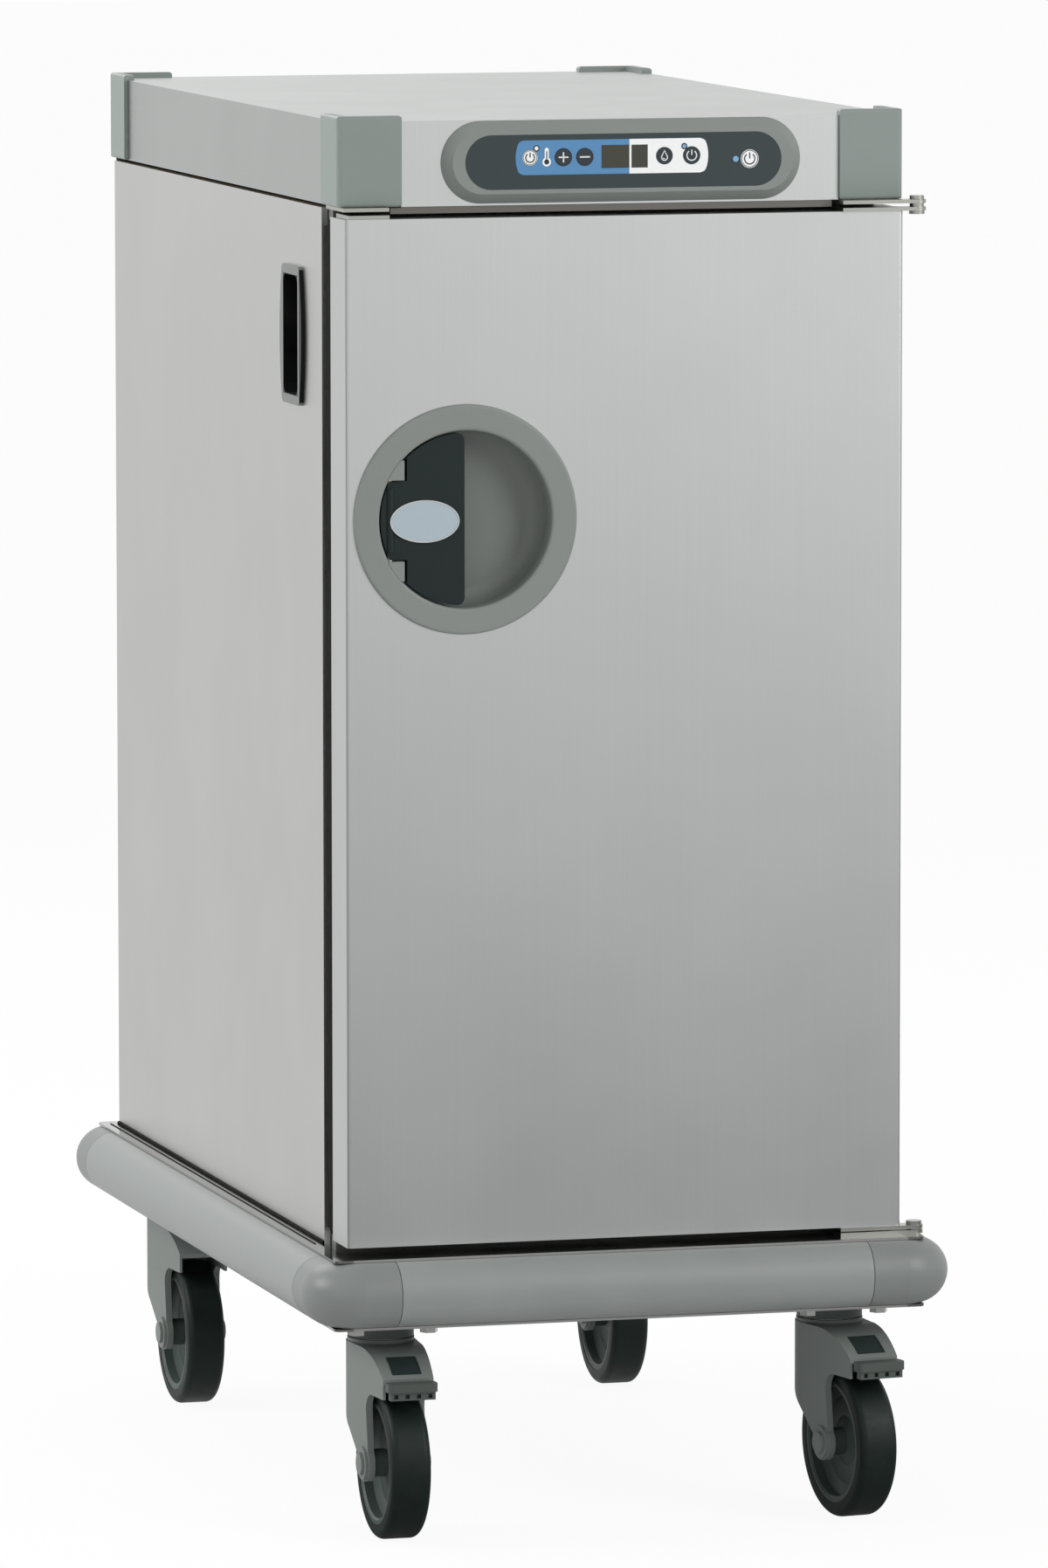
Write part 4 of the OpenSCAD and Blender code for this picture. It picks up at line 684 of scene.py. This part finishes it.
def caster_fittings():
    """Race covers on all four casters and plates on the two front forks."""
    low = corners("fork_front_left")[1][2] + RACE_ABOVE_FORK
    high = corners("chassis")[0][2] - PLATE_T - RACE_BELOW_PLATE
    for row in ("front", "rear"):
        x, y = swivel_axis(row)
        race_cover(row + "_left", x, y, low, high)
        race_cover(row + "_right", -x, y, low, high)
    x, y = swivel_axis("front")
    crown_plate("left", x, y, 0.0)
    crown_plate("right", -x, y, RIGHT_SWIVEL)


def bead(name, body, material, path, section):
    """Trim bead or painted shadow line: a section, as steps out and up from the path, drawn along a level
    path of places.
    """
    verts = []
    count = len(section)
    for x, y, z, out_x, out_y in path:
        verts += [((x + out_x * out) * MM, (y + out_y * out) * MM, (z + up) * MM) for out, up in section]
    faces = []
    for i in range(len(path) - 1):
        for k in range(count):
            a = i * count + k
            b = i * count + (k + 1) % count
            faces.append((a, b, b + count, a + count))
    faces.append(tuple(range(count))[::-1])
    faces.append(tuple(range((len(path) - 1) * count, len(path) * count)))
    add_piece(name, body, material, verts, faces, True)


# Sections of the round bead and of a thin black line that is painted shadow, in millimetres out from the
# panel and up from the deck
ROUND_BEAD = [(0.0, 0.0), (1.6, 0.0), (1.9, 0.7), (1.6, 1.7), (0.9, 2.3), (0.0, 2.5)]
SHADOW_LINE_SECTION = [(6.9, 0.0), (8.3, 0.0), (8.1, 0.5), (7.1, 0.5)]


def foot_seals():
    """Black sealing bead between the foot of each side panel and the deck, and beside it a thin black line
    on the deck that is painted shadow.
    """
    for side, outward in (("left", -1), ("right", 1)):
        low, high = corners(side + "_side_panel")
        x = low[0] if side == "left" else high[0]
        deck = corners("chassis")[1][2]
        path = [(x, low[1] + (high[1] - low[1]) * i / 8, deck, outward, 0) for i in range(9)]
        bead("foot_seal_" + side, "cabinet", gasket_rubber, path, ROUND_BEAD)
        # A thin black line lying on the deck: painted shadow.
        bead("shadow_line_" + side, "cabinet", gasket_rubber, path, SHADOW_LINE_SECTION)


# The door's lip: inset from the door's edge, wall, corner radius, gap to the frame, reach beside the frame
LIP_INSET = 0.4
LIP_WALL = 3.0
LIP_CORNER = 8.4
LIP_GAP = 1.5
LIP_FIN = 6.0


def gasket_lip():
    """Black lip round the back of the door that closes the gap to the frame, with a fin beside the frame."""
    low, high = corners("door_skin")
    frame_front = corners("front_frame")[0][1]

    def loop(inset):
        x0, x1 = low[0] + inset, high[0] - inset
        z0, z1 = low[2] + inset, high[2] - inset
        r = LIP_CORNER - inset
        return (arc(x1 - r, z1 - r, r, 0, 90, 8) + arc(x0 + r, z1 - r, r, 90, 180, 8)
                + arc(x0 + r, z0 + r, r, 180, 270, 8) + arc(x1 - r, z0 + r, r, 270, 360, 8))

    back = high[1]
    lip_end = frame_front - LIP_GAP
    plate("gasket_lip", "door", gasket_rubber, back, lip_end - back,
          [loop(LIP_INSET), loop(LIP_INSET + LIP_WALL)])
    x0 = low[0] + LIP_INSET
    z0, z1 = low[2] + LIP_CORNER, high[2] - LIP_CORNER
    fin = [(x0, z0), (x0 + LIP_WALL, z0), (x0 + LIP_WALL, z1), (x0, z1)]
    plate("gasket_fin", "door", gasket_rubber, lip_end, LIP_GAP + LIP_FIN, [fin])


foot_seals()
gasket_lip()
control_zones()
control_lamps()
key_symbols()
paddle_badge()
caster_fittings()


# Floor, world, lights and camera


FLOOR_HALF = 30
WHITE_SHARE = 0.93
SOFT_LEVEL = 0.62


def studio_floor():
    """Pale floor: white to the camera with a trace of shadow, dimmer in front in reflections."""
    mesh = bpy.data.meshes.new("floor")
    size = FLOOR_HALF
    rim = [(-size, -size, 0), (size, -size, 0), (size, size, 0), (-size, size, 0)]
    mesh.from_pydata(rim, [], [(0, 1, 2, 3)])
    floor = bpy.data.objects.new("floor", mesh)
    bpy.context.scene.collection.objects.link(floor)
    finish = Finish("floor", (0.86, 0.86, 0.86, 1), 0.9)
    finish.tint(finish.noise(3, (1, 1, 1), 2.0), 0.99, 1.0)
    tree = finish.tree
    path = tree.nodes.new("ShaderNodeLightPath")

    def glow(strength):
        node = tree.nodes.new("ShaderNodeEmission")
        if isinstance(strength, float):
            node.inputs["Strength"].default_value = strength
        else:
            finish.link(strength, node.inputs["Strength"])
        return node.outputs["Emission"]

    def mixed(factor, first, second):
        node = tree.nodes.new("ShaderNodeMixShader")
        finish.link(factor, node.inputs["Fac"])
        finish.link(first, node.inputs[1])
        finish.link(second, node.inputs[2])
        return node.outputs["Shader"]

    depth = finish.axes(finish.place)["Y"]
    ahead = finish.ranged(depth, 1.08, 0.24, -9.0, -0.8)
    behind = finish.ranged(depth, 0.0, 0.62, -0.3, 0.5)
    part = finish.math("MULTIPLY", path.outputs["Is Camera Ray"], WHITE_SHARE)
    seen = mixed(part, finish.shader.outputs["BSDF"], glow(1.0))
    whole = mixed(path.outputs["Is Glossy Ray"], seen, glow(finish.math("ADD", ahead, behind)))
    finish.link(whole, tree.nodes["Material Output"].inputs["Surface"])
    mesh.materials.append(finish.material)


def studio_world():
    """White to the camera; in reflections white nearly all round, and dark far to the left."""
    world = bpy.data.worlds.new("studio")
    bpy.context.scene.world = world
    world.use_nodes = True
    tree = world.node_tree

    graph = Graph(tree)
    path = tree.nodes.new("ShaderNodeLightPath").outputs
    axes = graph.axes(tree.nodes.new("ShaderNodeTexCoord").outputs["Generated"])
    behind = graph.ranged(axes["Y"], 0.97, 1.0, -0.5, 0.4)
    above = graph.ranged(axes["Z"], 0.97, 1.0, 0.1, 0.8)
    beside = graph.ranged(axes["X"], 0.25, 1.0, -0.94, -0.8)
    around = graph.math("MULTIPLY", graph.math("MAXIMUM", behind, above), beside)
    mirrored = graph.math("MULTIPLY", around, path["Is Glossy Ray"])
    direct = graph.math("MAXIMUM", path["Is Camera Ray"], path["Is Transmission Ray"])
    soft = graph.math("MULTIPLY", path["Is Diffuse Ray"], SOFT_LEVEL)
    level = graph.math("MAXIMUM", graph.math("MAXIMUM", mirrored, direct), soft)
    tree.links.new(level, tree.nodes["Background"].inputs["Strength"])
    tree.nodes["Background"].inputs["Color"].default_value = (1, 1, 1, 1)


def softbox(name, position, target, size, power):
    """Rectangular area light turned to a target, in metres and watts."""
    data = bpy.data.lights.new(name, "AREA")
    data.shape = "RECTANGLE"
    data.size = size[0]
    data.size_y = size[1]
    data.energy = power
    lamp = bpy.data.objects.new(name, data)
    lamp.location = position
    lamp.rotation_euler = (Vector(target) - Vector(position)).to_track_quat("-Z", "Y").to_euler()
    bpy.context.scene.collection.objects.link(lamp)


# Fitted camera: yaw, pitch and roll in degrees, focal length in millimetres, place in metres
CAMERA_TURN = (15.436, 6.3406, -0.043)
CAMERA_LENS = 255.12
CAMERA_PLACE = (-2.4736, -9.0432, 1.6151)


def photo_camera():
    """Camera fitted to the photograph's corner points."""
    yaw, pitch, roll = (math.radians(angle) for angle in CAMERA_TURN)
    ahead = Vector((math.sin(yaw) * math.cos(pitch), math.cos(yaw) * math.cos(pitch), -math.sin(pitch)))
    right = Vector((math.cos(yaw), -math.sin(yaw), 0))
    up = right.cross(ahead)
    right_rolled = right * math.cos(roll) + up * math.sin(roll)
    up_rolled = up * math.cos(roll) - right * math.sin(roll)
    data = bpy.data.cameras.new("camera")
    data.sensor_fit = "AUTO"
    data.sensor_width = 36
    data.lens = CAMERA_LENS
    data.clip_end = 200
    camera = bpy.data.objects.new("camera", data)
    turn = Matrix((right_rolled, up_rolled, -ahead)).transposed()
    camera.matrix_world = Matrix.Translation(CAMERA_PLACE) @ turn.to_4x4()
    bpy.context.scene.collection.objects.link(camera)
    bpy.context.scene.camera = camera


studio_floor()
studio_world()
softbox("key", (-4.2, 0.4, 2.8), (0, 0, 0.7), (2.4, 1.6), 110)
softbox("fill", (2.6, -3.4, 2.4), (0, 0, 0.6), (1.6, 2.2), 75)
softbox("rim", (-1.0, 3.2, 3.0), (0, 0, 0.8), (2.4, 1.6), 40)
photo_camera()
bpy.context.scene.view_settings.view_transform = "Standard"
